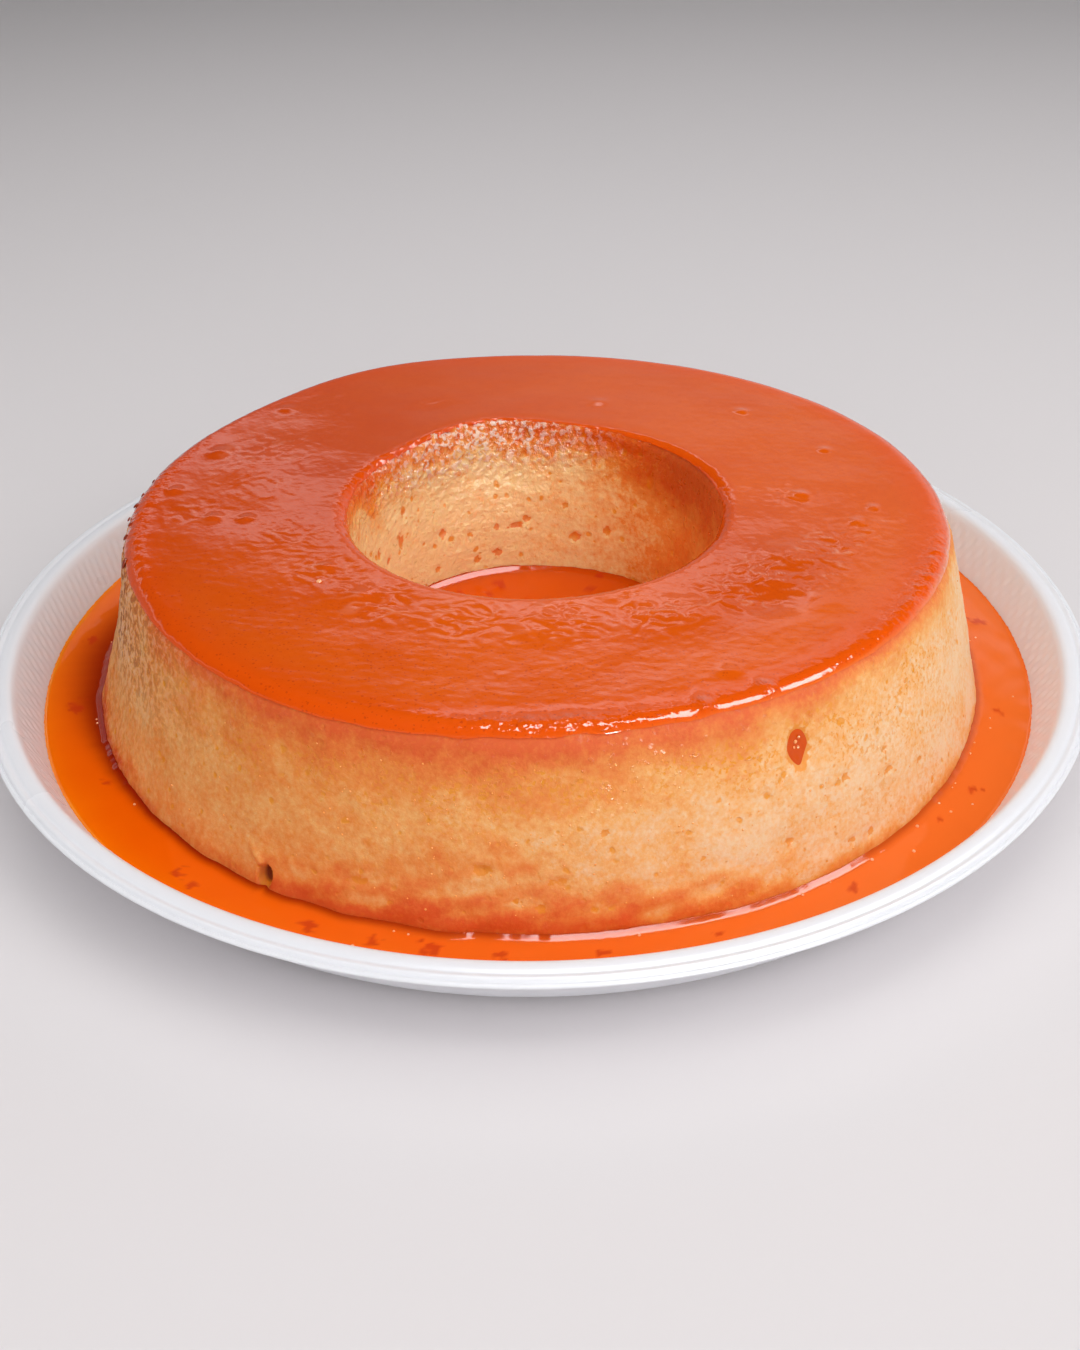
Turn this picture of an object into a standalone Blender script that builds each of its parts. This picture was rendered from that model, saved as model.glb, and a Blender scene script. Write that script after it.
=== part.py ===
"""Leche flan: a ring of baked custard turned out onto a deep white plate, standing in its own caramel.

Run it with blender --background --python part.py, or from Blender's text editor.
Metres, +Z up. The plate stands on Z = 0 and its axis is the Z axis; the whole flan faces -Y.
Every piece is one profile of (radius, height) points spun about Z, and the custard and the
caramel that touches it are then pushed out of round by the same few functions.
"""

import math

import bmesh
import bpy

MM = 0.001

# Round pieces
SEGMENTS = 72
FIT_GAP = 0.3 * MM
SMOOTH_ANGLE = math.radians(40)
WELD = 0.01 * MM

# Plate: a moulded dish with a steep wall and a narrow two-lobed rim
RIM_RADIUS = 130.0 * MM
RIM_INNER_RADIUS = 123.6 * MM
RIM_HEIGHT = 19.5 * MM
RIM_CROWN = 0.5 * MM
RIM_EDGE = 0.4 * MM
FLOOR_TOP = 1.8 * MM
PLATE_WALL = 1.2 * MM
WALL_LEAN = 0.495
WALL_FILLET = 9.0 * MM
FOOT_OUTER_RADIUS = 104.0 * MM
FOOT_WIDTH = 5.0 * MM
FOOT_HEIGHT = 0.6 * MM

# Custard ring: its side is a straight taper that runs into the round shoulder
CUSTARD_BOTTOM = FLOOR_TOP + FIT_GAP
CUSTARD_TOP = 49.3 * MM
BASE_RADIUS = 105.6 * MM
SHOULDER_RADIUS = 91.0 * MM
SHOULDER_ROUND = 5.0 * MM
SIDE_MEETS_SHOULDER = math.radians(15)
LIP_RADIUS = 47.1 * MM
LIP_ROUND = 3.5 * MM
HOLE_BASE_RADIUS = 41.2 * MM
HEEL_ROUND = 1.6 * MM
TOP_DISH = 0.35 * MM

# Caramel
CARAMEL_LEVEL = 8.6 * MM
# Beyond this radius the caramel keeps to the true circle of the plate
STILL_RADIUS = 109.0 * MM

# Unevenness of the custard, as (centre angle in degrees, half width in degrees, size)
BACK_BULGE = (118.0, 17.0, 3.2 * MM)
LEFT_HOLLOW = (195.0, 45.0, 1.5 * MM)
WORN_LIP = (106.0, 20.0, 4.6 * MM)
# Slow waves of the outline, as (waves round the ring, phase in degrees, size)
OUTLINE_WAVES = ((1, 119.0, 0.42 * MM), (3, 10.0, 0.10 * MM), (5, -18.0, 0.20 * MM))
# Broad hollows and swells of the top, as (angle in degrees, radius, half width, height)
TOP_SWELLS = (
    (-35.0, 70.0 * MM, 11.0 * MM, -0.9 * MM),
    (-58.0, 60.0 * MM, 10.0 * MM, 0.6 * MM),
    (-95.0, 56.0 * MM, 9.0 * MM, 0.7 * MM),
    (-130.0, 58.0 * MM, 9.0 * MM, -0.6 * MM),
    (150.0, 72.0 * MM, 13.0 * MM, 0.9 * MM),
    (172.0, 74.0 * MM, 10.0 * MM, -0.5 * MM),
    (5.0, 66.0 * MM, 12.0 * MM, 0.5 * MM),
)


def arc(centre_r, centre_z, radius, start, end, steps):
    """Points of a circular arc in the profile plane. Angles are in degrees from the outward radius."""
    points = []
    for i in range(steps + 1):
        angle = math.radians(start + (end - start) * i / steps)
        points.append((centre_r + radius * math.cos(angle), centre_z + radius * math.sin(angle)))
    return points


def between(low, high, share):
    """The value that lies this share of the way from low to high."""
    return low + (high - low) * share


def ramp(value, start, end):
    """How far value has come from start to end, held between 0 and 1."""
    return min(max((value - start) / (end - start), 0.0), 1.0)


# Plate ---------------------------------------------------------------------------------------


def wall_radius(z):
    """Inner radius of the plate's straight wall at height z."""
    return RIM_INNER_RADIUS - WALL_LEAN * (RIM_HEIGHT - z)


def wall_fillet(depth, steps):
    """The curve from the floor into the wall, on a face this deep below the inner one."""
    lean = math.atan(WALL_LEAN)
    turn = math.pi / 2 - lean
    tangent = WALL_FILLET * math.tan(turn / 2)
    centre_r = wall_radius(FLOOR_TOP) - tangent
    centre_z = FLOOR_TOP + WALL_FILLET
    return arc(centre_r, centre_z, WALL_FILLET + depth, -90, -math.degrees(lean), steps)


def rim_top():
    """The rim from crease to edge: a broad lobe, a valley, a narrow lobe, a groove and a bead."""
    lobes = ((0.0, 0.0), (0.22, 1.0), (0.58, 0.2), (0.74, 0.45), (0.86, -0.6), (0.93, -0.5), (1.0, -1.8))
    points = []
    for across, up in lobes:
        points.append((between(RIM_INNER_RADIUS, RIM_RADIUS, across), RIM_HEIGHT + RIM_CROWN * up))
    return points


def plate_profile():
    """The plate's section, from its underside's middle out to the rim's edge and back over the top."""
    foot_inner = FOOT_OUTER_RADIUS - FOOT_WIDTH
    outward = PLATE_WALL * math.hypot(1, WALL_LEAN)
    under_rim = RIM_HEIGHT - PLATE_WALL
    underside = [(0, FOOT_HEIGHT), (foot_inner - FOOT_HEIGHT, FOOT_HEIGHT), (foot_inner, 0)]
    underside += [(FOOT_OUTER_RADIUS, 0), (FOOT_OUTER_RADIUS + FOOT_HEIGHT, FOOT_HEIGHT)]
    underside += wall_fillet(PLATE_WALL, 3)
    underside += [(wall_radius(under_rim) + outward, under_rim), (RIM_RADIUS - RIM_EDGE, under_rim)]
    upper = wall_fillet(0, 4) + rim_top()
    return underside + upper[::-1] + [(0, FLOOR_TOP)]


# Custard -------------------------------------------------------------------------------------


def shoulder_height():
    """Height at which the custard's side turns into its shoulder."""
    return CUSTARD_TOP - SHOULDER_ROUND * (1 - math.sin(SIDE_MEETS_SHOULDER))


def side_radius(z):
    """Radius of the custard's outer side at height z: a straight taper up to the round shoulder."""
    shoulder_radius = SHOULDER_RADIUS + SHOULDER_ROUND * math.cos(SIDE_MEETS_SHOULDER)
    return between(shoulder_radius, BASE_RADIUS, ramp(z, shoulder_height(), CARAMEL_LEVEL))


def hole_radius(z):
    """Radius of the custard's hole at height z: wider towards the top, as the mould's tube was."""
    return between(HOLE_BASE_RADIUS, LIP_RADIUS - LIP_ROUND, ramp(z, CUSTARD_BOTTOM, CUSTARD_TOP))


def custard_profile():
    """The ring's section, starting at the hole's foot and running under, up the side and over the top."""
    heel = [(side_radius(CARAMEL_LEVEL) - HEEL_ROUND, CUSTARD_BOTTOM)]
    heel += [(side_radius(CARAMEL_LEVEL), CUSTARD_BOTTOM + HEEL_ROUND)]
    side_heights = [between(CARAMEL_LEVEL, shoulder_height(), i / 6) for i in range(6)]
    side = [(side_radius(z), z) for z in side_heights]
    turn = math.degrees(SIDE_MEETS_SHOULDER)
    shoulder = arc(SHOULDER_RADIUS, CUSTARD_TOP - SHOULDER_ROUND, SHOULDER_ROUND, turn, 90, 4)
    top = [(between(SHOULDER_RADIUS, LIP_RADIUS, i / 6), CUSTARD_TOP) for i in range(1, 6)]
    lip = arc(LIP_RADIUS, CUSTARD_TOP - LIP_ROUND, LIP_ROUND, 90, 180, 3)
    hole_heights = [between(CUSTARD_TOP - 2 * LIP_ROUND, CARAMEL_LEVEL, i / 4) for i in range(5)]
    hole = [(hole_radius(z), z) for z in hole_heights]
    foot = [(hole_radius(CUSTARD_BOTTOM), CUSTARD_BOTTOM)]
    return heel + side + shoulder + top + lip + hole + foot


def around(angle, centre, half_width):
    """A smooth hill of height 1 at the centre angle, falling away over half_width; all in degrees."""
    away = (angle - centre + 180) % 360 - 180
    return math.exp(-((away / half_width) ** 2))


def outline_sway(angle):
    """How far the custard's outline strays from a circle at this angle, in metres."""
    return sum(size * math.sin(math.radians(waves * angle + phase)) for waves, phase, size in OUTLINE_WAVES)


def out_of_round(x, y, z):
    """Moves a point of the custard, or of the caramel against it, from the true ring to the real one."""
    radius = math.hypot(x, y)
    angle = math.degrees(math.atan2(y, x))
    middle = (SHOULDER_RADIUS + LIP_RADIUS) / 2
    outer = ramp(radius, middle, SHOULDER_RADIUS) * ramp(radius, STILL_RADIUS, BASE_RADIUS + FIT_GAP)
    inner = ramp(radius, middle, LIP_RADIUS)
    up = ramp(z, CARAMEL_LEVEL, CUSTARD_TOP)

    shift = outer * outline_sway(angle)
    shift += outer * BACK_BULGE[2] * around(angle, *BACK_BULGE[:2]) * up**3
    shift -= outer * LEFT_HOLLOW[2] * around(angle, *LEFT_HOLLOW[:2]) * math.sin(math.pi * up)
    shift += inner * WORN_LIP[2] * around(angle, *WORN_LIP[:2]) * up**4
    lift = 0.0
    if LIP_RADIUS < radius < SHOULDER_RADIUS and up > 0.9:
        lift -= TOP_DISH * math.sin(math.pi * (radius - LIP_RADIUS) / (SHOULDER_RADIUS - LIP_RADIUS))
        for swell_angle, swell_radius, half_width, height in TOP_SWELLS:
            swell_x = swell_radius * math.cos(math.radians(swell_angle))
            swell_y = swell_radius * math.sin(math.radians(swell_angle))
            away = math.hypot(x - swell_x, y - swell_y) / half_width
            lift += height * math.exp(-(away**2))
    scale = (radius + shift) / radius if radius > WELD else 1.0
    return x * scale, y * scale, z + lift


# Caramel -------------------------------------------------------------------------------------


def moat_profile():
    """The caramel between the custard and the plate's wall, clear of both."""
    heel = side_radius(CARAMEL_LEVEL) + FIT_GAP
    section = [(heel, CUSTARD_BOTTOM + HEEL_ROUND - FIT_GAP), (heel - HEEL_ROUND, CUSTARD_BOTTOM)]
    section += [(r - FIT_GAP, z + FIT_GAP) for r, z in wall_fillet(0, 4)]
    section += [(wall_radius(CARAMEL_LEVEL) - 2 * FIT_GAP, CARAMEL_LEVEL), (heel, CARAMEL_LEVEL)]
    return section


def well_profile():
    """The caramel that fills the foot of the hole."""
    return [
        (0, CUSTARD_BOTTOM),
        (hole_radius(CUSTARD_BOTTOM) - FIT_GAP, CUSTARD_BOTTOM),
        (hole_radius(CARAMEL_LEVEL) - FIT_GAP, CARAMEL_LEVEL),
        (0, CARAMEL_LEVEL),
    ]


# Building ------------------------------------------------------------------------------------


def finish_material(name, colour, roughness):
    """A Principled material of one colour, not metallic."""
    material = bpy.data.materials.new(name)
    material.use_nodes = True
    shader = material.node_tree.nodes["Principled BSDF"]
    shader.inputs["Base Color"].default_value = (*colour, 1.0)
    shader.inputs["Roughness"].default_value = roughness
    shader.inputs["Metallic"].default_value = 0.0
    return material


def spin_solid(name, profile, material, closed, reshape=None):
    """Spins a section about Z into one closed object. A closed section never touches the axis."""
    shape = bmesh.new()
    points = [shape.verts.new((radius, 0, height)) for radius, height in profile]
    edges = [shape.edges.new(pair) for pair in zip(points, points[1:])]
    if closed:
        edges.append(shape.edges.new((points[-1], points[0])))
    bmesh.ops.spin(
        shape,
        geom=points + edges,
        cent=(0, 0, 0),
        axis=(0, 0, 1),
        angle=math.tau,
        steps=SEGMENTS,
        use_merge=True,
        use_duplicate=False,
    )
    bmesh.ops.remove_doubles(shape, verts=shape.verts, dist=WELD)
    if reshape:
        for vert in shape.verts:
            vert.co = reshape(*vert.co)
    bmesh.ops.recalc_face_normals(shape, faces=shape.faces)
    mesh = bpy.data.meshes.new(name)
    shape.to_mesh(mesh)
    shape.free()
    mesh.shade_smooth()
    mesh.set_sharp_from_angle(angle=SMOOTH_ANGLE)
    mesh.materials.append(material)
    solid = bpy.data.objects.new(name, mesh)
    bpy.context.scene.collection.objects.link(solid)
    return solid


def main():
    for old in list(bpy.data.objects):
        bpy.data.objects.remove(old)
    white_plastic = finish_material("white_plastic", (0.86, 0.85, 0.86), 0.35)
    custard = finish_material("custard", (0.83, 0.50, 0.20), 0.45)
    caramel = finish_material("caramel", (0.78, 0.16, 0.02), 0.08)
    spin_solid("plate", plate_profile(), white_plastic, closed=False)
    spin_solid("custard_ring", custard_profile(), custard, closed=True, reshape=out_of_round)
    spin_solid("caramel_moat", moat_profile(), caramel, closed=True, reshape=out_of_round)
    spin_solid("caramel_well", well_profile(), caramel, closed=False)


main()
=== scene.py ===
"""Leche flan on its plate: every surface that shows, built round the packed solids.

Lengths are in metres, and MM turns millimetres into metres. Angles round the flan are in degrees:
0 is +X, the right side, and -90 is -Y, the front. "Outline" means a section of a round piece in
the plane of radius and height. Each piece is a grid of points, rows along its outline and columns
round the Z axis, and small uneven shapes are added to the grid along its outline's normals.
"""

import math

import bpy
import numpy as np
from mathutils import Matrix, Vector


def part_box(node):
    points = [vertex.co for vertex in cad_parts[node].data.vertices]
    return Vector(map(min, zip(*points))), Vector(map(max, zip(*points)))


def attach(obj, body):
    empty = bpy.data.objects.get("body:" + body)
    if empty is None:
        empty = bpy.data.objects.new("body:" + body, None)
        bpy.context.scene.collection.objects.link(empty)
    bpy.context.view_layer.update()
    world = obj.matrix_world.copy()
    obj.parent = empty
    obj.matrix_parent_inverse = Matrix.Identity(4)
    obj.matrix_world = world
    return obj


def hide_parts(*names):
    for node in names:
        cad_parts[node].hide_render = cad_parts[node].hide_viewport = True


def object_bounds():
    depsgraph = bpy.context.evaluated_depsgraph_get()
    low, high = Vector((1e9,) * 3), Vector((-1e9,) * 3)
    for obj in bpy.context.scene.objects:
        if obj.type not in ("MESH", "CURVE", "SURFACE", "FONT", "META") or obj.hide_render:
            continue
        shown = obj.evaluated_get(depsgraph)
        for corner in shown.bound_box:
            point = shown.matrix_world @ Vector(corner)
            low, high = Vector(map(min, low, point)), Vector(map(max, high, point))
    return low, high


bl_info = {
    "name": "Leche Flan",
    "version": (1, 0, 0),
    "blender": (4, 5, 0),
    "location": "View3D > Sidebar > Flan",
    "description": "Builds a ring of caramel custard on a moulded plate, piece by piece",
    "category": "Add Mesh",
}

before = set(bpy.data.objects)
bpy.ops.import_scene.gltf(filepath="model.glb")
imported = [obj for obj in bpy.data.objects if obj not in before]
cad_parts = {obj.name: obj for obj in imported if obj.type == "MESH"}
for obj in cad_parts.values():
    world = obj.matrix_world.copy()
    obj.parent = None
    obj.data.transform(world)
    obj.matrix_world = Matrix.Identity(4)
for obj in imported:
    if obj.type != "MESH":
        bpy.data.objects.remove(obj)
CAD_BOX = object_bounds()
MM = 0.001

# Plate, as in the solids
RIM_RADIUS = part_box("plate")[1].x
RIM_INNER_RADIUS = RIM_RADIUS - 6.4 * MM
RIM_HEIGHT = 19.5 * MM
RIM_CROWN = 0.5 * MM
FLOOR_TOP = 1.8 * MM
WALL_LEAN = 0.495
WALL_FILLET = 9.0 * MM
FOOT_OUTER_RADIUS = 104.0 * MM
FOOT_WIDTH = 5.0 * MM
FOOT_HEIGHT = 0.6 * MM

# Custard, as in the solids
CUSTARD_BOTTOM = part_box("custard_ring")[0].z
CUSTARD_TOP = 49.3 * MM
BASE_RADIUS = 105.6 * MM
SHOULDER_RADIUS = 91.0 * MM
SHOULDER_ROUND = 5.0 * MM
SIDE_MEETS_SHOULDER = math.radians(15)
LIP_RADIUS = 47.1 * MM
LIP_ROUND = 3.5 * MM
HOLE_BASE_RADIUS = 41.2 * MM
HOLE_TOP_RADIUS = LIP_RADIUS - LIP_ROUND
LIP_BOTTOM = CUSTARD_TOP - LIP_ROUND
STILL_RADIUS = 109.0 * MM
BACK_BULGE = (118.0, 17.0, 3.2 * MM)
LEFT_HOLLOW = (195.0, 45.0, 1.5 * MM)
WORN_LIP = (106.0, 20.0, 4.6 * MM)
OUTLINE_WAVES = ((1, 119.0, 0.42 * MM), (3, 10.0, 0.10 * MM), (5, -18.0, 0.20 * MM))
TOP_SWELLS = (
    (-27.0, 63.0 * MM, 6.5 * MM, 0.40 * MM),
    (-39.0, 64.0 * MM, 4.5 * MM, 0.35 * MM),
    (-44.0, 69.0 * MM, 5.0 * MM, -0.40 * MM),
    (-38.0, 77.0 * MM, 7.0 * MM, 0.20 * MM),
    (-60.0, 60.0 * MM, 7.0 * MM, 0.25 * MM),
    (-88.0, 57.0 * MM, 7.0 * MM, 0.20 * MM),
    (-133.0, 57.0 * MM, 6.0 * MM, 0.20 * MM),
    (160.0, 74.0 * MM, 9.0 * MM, 0.20 * MM),
    (-178.0, 70.0 * MM, 9.0 * MM, -0.20 * MM),
    (116.0, 61.0 * MM, 6.0 * MM, -0.15 * MM),
    (5.0, 66.0 * MM, 12.0 * MM, 0.20 * MM),
)

# The top's faint dish, which is 0.35 mm deep in the solids
TOP_DISH = 0.12 * MM

# Caramel, as in the solids
CARAMEL_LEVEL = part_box("caramel_moat")[1].z

# How far the custard's skin runs on below the caramel
HIDDEN_SKIN = 1.5 * MM

# Columns round the custard and the caramel beside it, and round the film
RING_COLUMNS = 704
FILM_COLUMNS = 680
# How much closer together the columns stand at the front
FRONT_SHARE = 0.35
# Plane waves in each random field
WAVES_IN_FIELD = 28
# Rings and sides of each small ball
BALL_RINGS = 6
BALL_SIDES = 10

# Pits of the custard's side, as (angle, height, half width, half height, depth)
SIDE_PITS = (
    (-59.2, 37.4 * MM, 2.3 * MM, 3.6 * MM, 1.4 * MM),
    (-96.2, 22.1 * MM, 1.5 * MM, 0.9 * MM, 0.9 * MM),
    (-82.9, 29.0 * MM, 1.0 * MM, 0.7 * MM, 0.5 * MM),
    (-138.0, 42.0 * MM, 0.9 * MM, 1.0 * MM, 0.6 * MM),
    (-141.7, 21.4 * MM, 0.8 * MM, 0.7 * MM, 0.5 * MM),
    (-90.0, 14.6 * MM, 0.9 * MM, 0.8 * MM, 0.6 * MM),
    (-88.0, 19.8 * MM, 2.2 * MM, 0.7 * MM, 0.35 * MM),
    (-52.8, 27.4 * MM, 1.1 * MM, 0.8 * MM, 0.5 * MM),
    (-46.1, 28.2 * MM, 0.9 * MM, 0.7 * MM, 0.5 * MM),
    (-45.6, 23.5 * MM, 1.6 * MM, 0.6 * MM, 0.5 * MM),
    (-39.5, 20.3 * MM, 0.9 * MM, 0.7 * MM, 0.5 * MM),
    (-61.5, 19.4 * MM, 0.9 * MM, 0.7 * MM, 0.5 * MM),
    (-52.9, 13.9 * MM, 1.2 * MM, 0.6 * MM, 0.5 * MM),
    (-49.8, 13.2 * MM, 0.8 * MM, 0.8 * MM, 0.6 * MM),
    (-110.0, 16.5 * MM, 2.4 * MM, 0.8 * MM, 0.4 * MM),
    (60.0, 30.0 * MM, 1.6 * MM, 1.2 * MM, 0.8 * MM),
    (95.0, 22.0 * MM, 1.2 * MM, 1.8 * MM, 0.8 * MM),
    (140.0, 34.0 * MM, 1.4 * MM, 1.0 * MM, 0.7 * MM),
)
# Pits of the hole's wall, as (angle, height, half width, half height, depth)
HOLE_PITS = (
    (75.5, 18.4 * MM, 1.3 * MM, 1.2 * MM, 0.9 * MM),
    (63.7, 21.3 * MM, 0.9 * MM, 1.3 * MM, 0.7 * MM),
    (93.1, 23.2 * MM, 1.0 * MM, 0.8 * MM, 0.7 * MM),
    (103.8, 21.7 * MM, 0.8 * MM, 0.7 * MM, 0.6 * MM),
    (97.0, 21.4 * MM, 2.4 * MM, 0.7 * MM, 0.5 * MM),
    (113.9, 20.7 * MM, 0.9 * MM, 0.7 * MM, 0.5 * MM),
    (124.9, 22.9 * MM, 1.1 * MM, 1.1 * MM, 0.7 * MM),
    (141.2, 33.2 * MM, 0.8 * MM, 1.2 * MM, 0.7 * MM),
    (157.1, 26.8 * MM, 0.6 * MM, 1.4 * MM, 0.6 * MM),
    (152.0, 23.1 * MM, 0.6 * MM, 0.9 * MM, 0.5 * MM),
    (144.0, 25.8 * MM, 0.7 * MM, 2.0 * MM, 0.6 * MM),
    (104.0, 14.2 * MM, 1.1 * MM, 0.9 * MM, 0.6 * MM),
    (112.0, 13.0 * MM, 0.8 * MM, 1.0 * MM, 0.6 * MM),
    (128.0, 13.4 * MM, 0.9 * MM, 0.8 * MM, 0.5 * MM),
    (79.3, 27.2 * MM, 0.8 * MM, 0.8 * MM, 0.6 * MM),
    (58.4, 42.8 * MM, 0.9 * MM, 0.9 * MM, 0.7 * MM),
    (51.8, 43.4 * MM, 0.6 * MM, 0.7 * MM, 0.6 * MM),
    (74.0, 44.8 * MM, 1.2 * MM, 0.7 * MM, 0.7 * MM),
    (47.0, 37.9 * MM, 1.2 * MM, 1.8 * MM, 0.5 * MM),
    (-60.0, 25.0 * MM, 1.1 * MM, 1.0 * MM, 0.7 * MM),
    (-110.0, 31.0 * MM, 1.0 * MM, 1.3 * MM, 0.7 * MM),
    (-20.0, 18.0 * MM, 1.2 * MM, 0.9 * MM, 0.7 * MM),
)
# Small marks of the top, as (angle, radius, half width, height)
TOP_MARKS = (
    (159.1, 84.2 * MM, 2.6 * MM, 0.42 * MM),
    (174.1, 86.4 * MM, 1.6 * MM, 0.38 * MM),
    (-175.8, 74.7 * MM, 1.8 * MM, 0.40 * MM),
    (-174.8, 66.9 * MM, 1.6 * MM, 0.36 * MM),
    (-130.3, 57.0 * MM, 2.4 * MM, 0.34 * MM),
    (-146.3, 55.0 * MM, 1.8 * MM, 0.30 * MM),
    (43.0, 74.1 * MM, 1.4 * MM, 0.36 * MM),
    (19.8, 76.2 * MM, 1.3 * MM, 0.32 * MM),
    (0.9, 62.4 * MM, 1.8 * MM, 0.45 * MM),
    (-4.5, 78.2 * MM, 1.2 * MM, 0.30 * MM),
    (-10.1, 74.2 * MM, 1.5 * MM, 0.30 * MM),
    (73.4, 60.8 * MM, 2.0 * MM, 0.20 * MM),
    (-63.5, 83.7 * MM, 1.8 * MM, 0.22 * MM),
    (139.0, 86.0 * MM, 2.0 * MM, 0.28 * MM),
)
# Where the caramel film on the top is rippled, as (angle, radius, half width, strength)
RIPPLED_PLACES = (
    (-20.0, 71.0 * MM, 8.0 * MM, 1.0),
    (-33.0, 65.0 * MM, 9.0 * MM, 1.1),
    (-48.0, 62.0 * MM, 8.0 * MM, 0.9),
    (-65.0, 58.0 * MM, 7.0 * MM, 0.9),
    (-85.0, 56.0 * MM, 7.0 * MM, 0.9),
    (-105.0, 56.0 * MM, 7.0 * MM, 0.9),
    (-125.0, 57.0 * MM, 7.0 * MM, 0.9),
    (-145.0, 57.0 * MM, 7.0 * MM, 0.7),
    (-165.0, 59.0 * MM, 9.0 * MM, 0.4),
    (172.0, 66.0 * MM, 9.0 * MM, 0.3),
    (155.0, 74.0 * MM, 11.0 * MM, 0.45),
    (-178.0, 80.0 * MM, 7.0 * MM, 0.5),
    (0.0, 59.0 * MM, 5.0 * MM, 0.7),
    (-10.0, 79.0 * MM, 6.0 * MM, 0.5),
)
# The tear at the foot, given as the pits of the side are
TEAR = (-121.6, 11.6 * MM, 1.6 * MM, 2.2 * MM, 3.2 * MM)
# Bits sunk in the sauce, as (angle, radius, half width)
SUNK_BITS = (
    (-114.0, 111.0 * MM, 2.2 * MM),
    (-107.0, 110.6 * MM, 1.5 * MM),
    (-101.0, 110.4 * MM, 2.6 * MM),
    (-94.0, 110.8 * MM, 1.6 * MM),
    (-131.0, 111.8 * MM, 1.7 * MM),
    (-128.5, 112.6 * MM, 1.4 * MM),
    (-84.0, 111.0 * MM, 1.4 * MM),
    (-72.0, 110.8 * MM, 1.0 * MM),
    (-56.0, 111.5 * MM, 1.5 * MM),
    (-40.0, 110.2 * MM, 1.0 * MM),
    (-33.0, 112.0 * MM, 1.6 * MM),
    (-16.0, 111.5 * MM, 1.4 * MM),
    (5.0, 111.5 * MM, 2.0 * MM),
    (-168.0, 111.2 * MM, 2.8 * MM),
    (176.0, 112.0 * MM, 2.0 * MM),
    (-151.0, 108.8 * MM, 1.2 * MM),
    (40.0, 112.0 * MM, 1.8 * MM),
    (75.0, 111.0 * MM, 2.2 * MM),
    (110.0, 112.0 * MM, 1.6 * MM),
    (140.0, 110.5 * MM, 2.4 * MM),
)
# Hills round the ring, each as (centre angle, half width, height): the film's lower edge and the
# band soaked above the foot in millimetres, and the rest as strengths. At -168 the foot's band
# and its soak are painted shade.
FILM_SAGS = ((-64, 27, 0.9), (-28, 14, 0.4), (-172, 22, 0.4))
FOOT_BAND_WITH_PAINTED_SHADE = ((-96, 25, 5.6), (-168, 18, 1.6))
RAGGED_EDGE = ((-90, 22, 1.0), (175, 20, 1.0))
BROKEN_EDGE = ((-87, 11, 1.0), (-27, 14, 1.0), (178, 18, 0.5), (-70, 1.2, 1.0), (-61.5, 1.2, 1.0))
CHIPPED_EDGE = ((-88, 12, 1.0), (-26, 14, 0.8), (178, 18, 0.6), (-70, 1.0, 1.2), (-61.5, 1.0, 1.2))
SOAKED_SIDE = ((-98, 36, 0.14), (-138, 46, 0.25))
SOAKED_FOOT_WITH_PAINTED_SHADE = ((-98, 40, 0.40), (-168, 24, 0.35))
# Centre angle and half width of the knobbly, wet patch in the hole
KNOBBLY_PATCH = (108, 44)


def srgb(red, green, blue):
    """A colour given as 0 to 255 screen values, as the linear values that shaders use."""
    values = np.array((red, green, blue)) / 255
    return tuple(np.where(values <= 0.04045, values / 12.92, ((values + 0.055) / 1.055) ** 2.4))


# Fields and outlines -------------------------------------------------------------------------


def ramp(value, start, end):
    """How far value has come from start to end, held between 0 and 1 and eased at both ends."""
    share = np.clip((value - start) / (end - start), 0, 1)
    return share * share * (3 - 2 * share)


def line(value, start, end):
    """How far value has come from start to end, held between 0 and 1, with no easing."""
    return np.clip((value - start) / (end - start), 0, 1)


def around(angle, centre, half_width):
    """A hill 1 high at the centre angle: e to the power of minus the squared distance."""
    away = (angle - centre + 180) % 360 - 180
    return np.exp(-((away / half_width) ** 2))


def swells(angle, base, places):
    """A base value with hills on it, each given as (centre angle, half width, height)."""
    return base + sum(high * around(angle, centre, half_width) for centre, half_width, high in places)


def flat(radius, angle):
    """X and Y of the points at this radius and angle."""
    turn = np.radians(angle)
    return radius * np.cos(turn), radius * np.sin(turn)


def waves(x, y, z, size, seed):
    """A smooth random field with a spread of 1.

    It is the sum of plane waves about this long, each with a random direction and phase.
    """
    random = np.random.default_rng(seed)
    total = 0.0
    for _ in range(WAVES_IN_FIELD):
        direction = random.normal(size=3)
        direction *= math.tau / size * random.uniform(0.65, 1.5) / np.linalg.norm(direction)
        phase = random.uniform(0, math.tau)
        total = total + np.cos(direction[0] * x + direction[1] * y + direction[2] * z + phase)
    return total * math.sqrt(2 / WAVES_IN_FIELD)


def rough(x, y, z, size, seed):
    """A random field with finer detail, folded a little.

    It adds fields half as high at half the size, and shifts the places where they are read.
    """
    shift = 0.35 * size * waves(x, y, z, 1.6 * size, seed + 100)
    x, y = x + shift, y - shift
    return waves(x, y, z, size, seed) + 0.5 * waves(x, y, z, size / 2, seed + 1)


def wrinkles(x, y):
    """Thin raised lines: narrow crests, 1 high, where a field drawn out sideways passes through 0.

    A second field breaks the lines into lengths.
    """
    bent = waves(0.4 * x, y, 0, 4.6 * MM, 8) + 0.3 * waves(x, y, 0, 3.5 * MM, 9)
    broken = ramp(waves(x, y, 0, 10 * MM, 10), -0.7, 0.5)
    return np.exp(-((bent / 0.26) ** 2)) * broken


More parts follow.
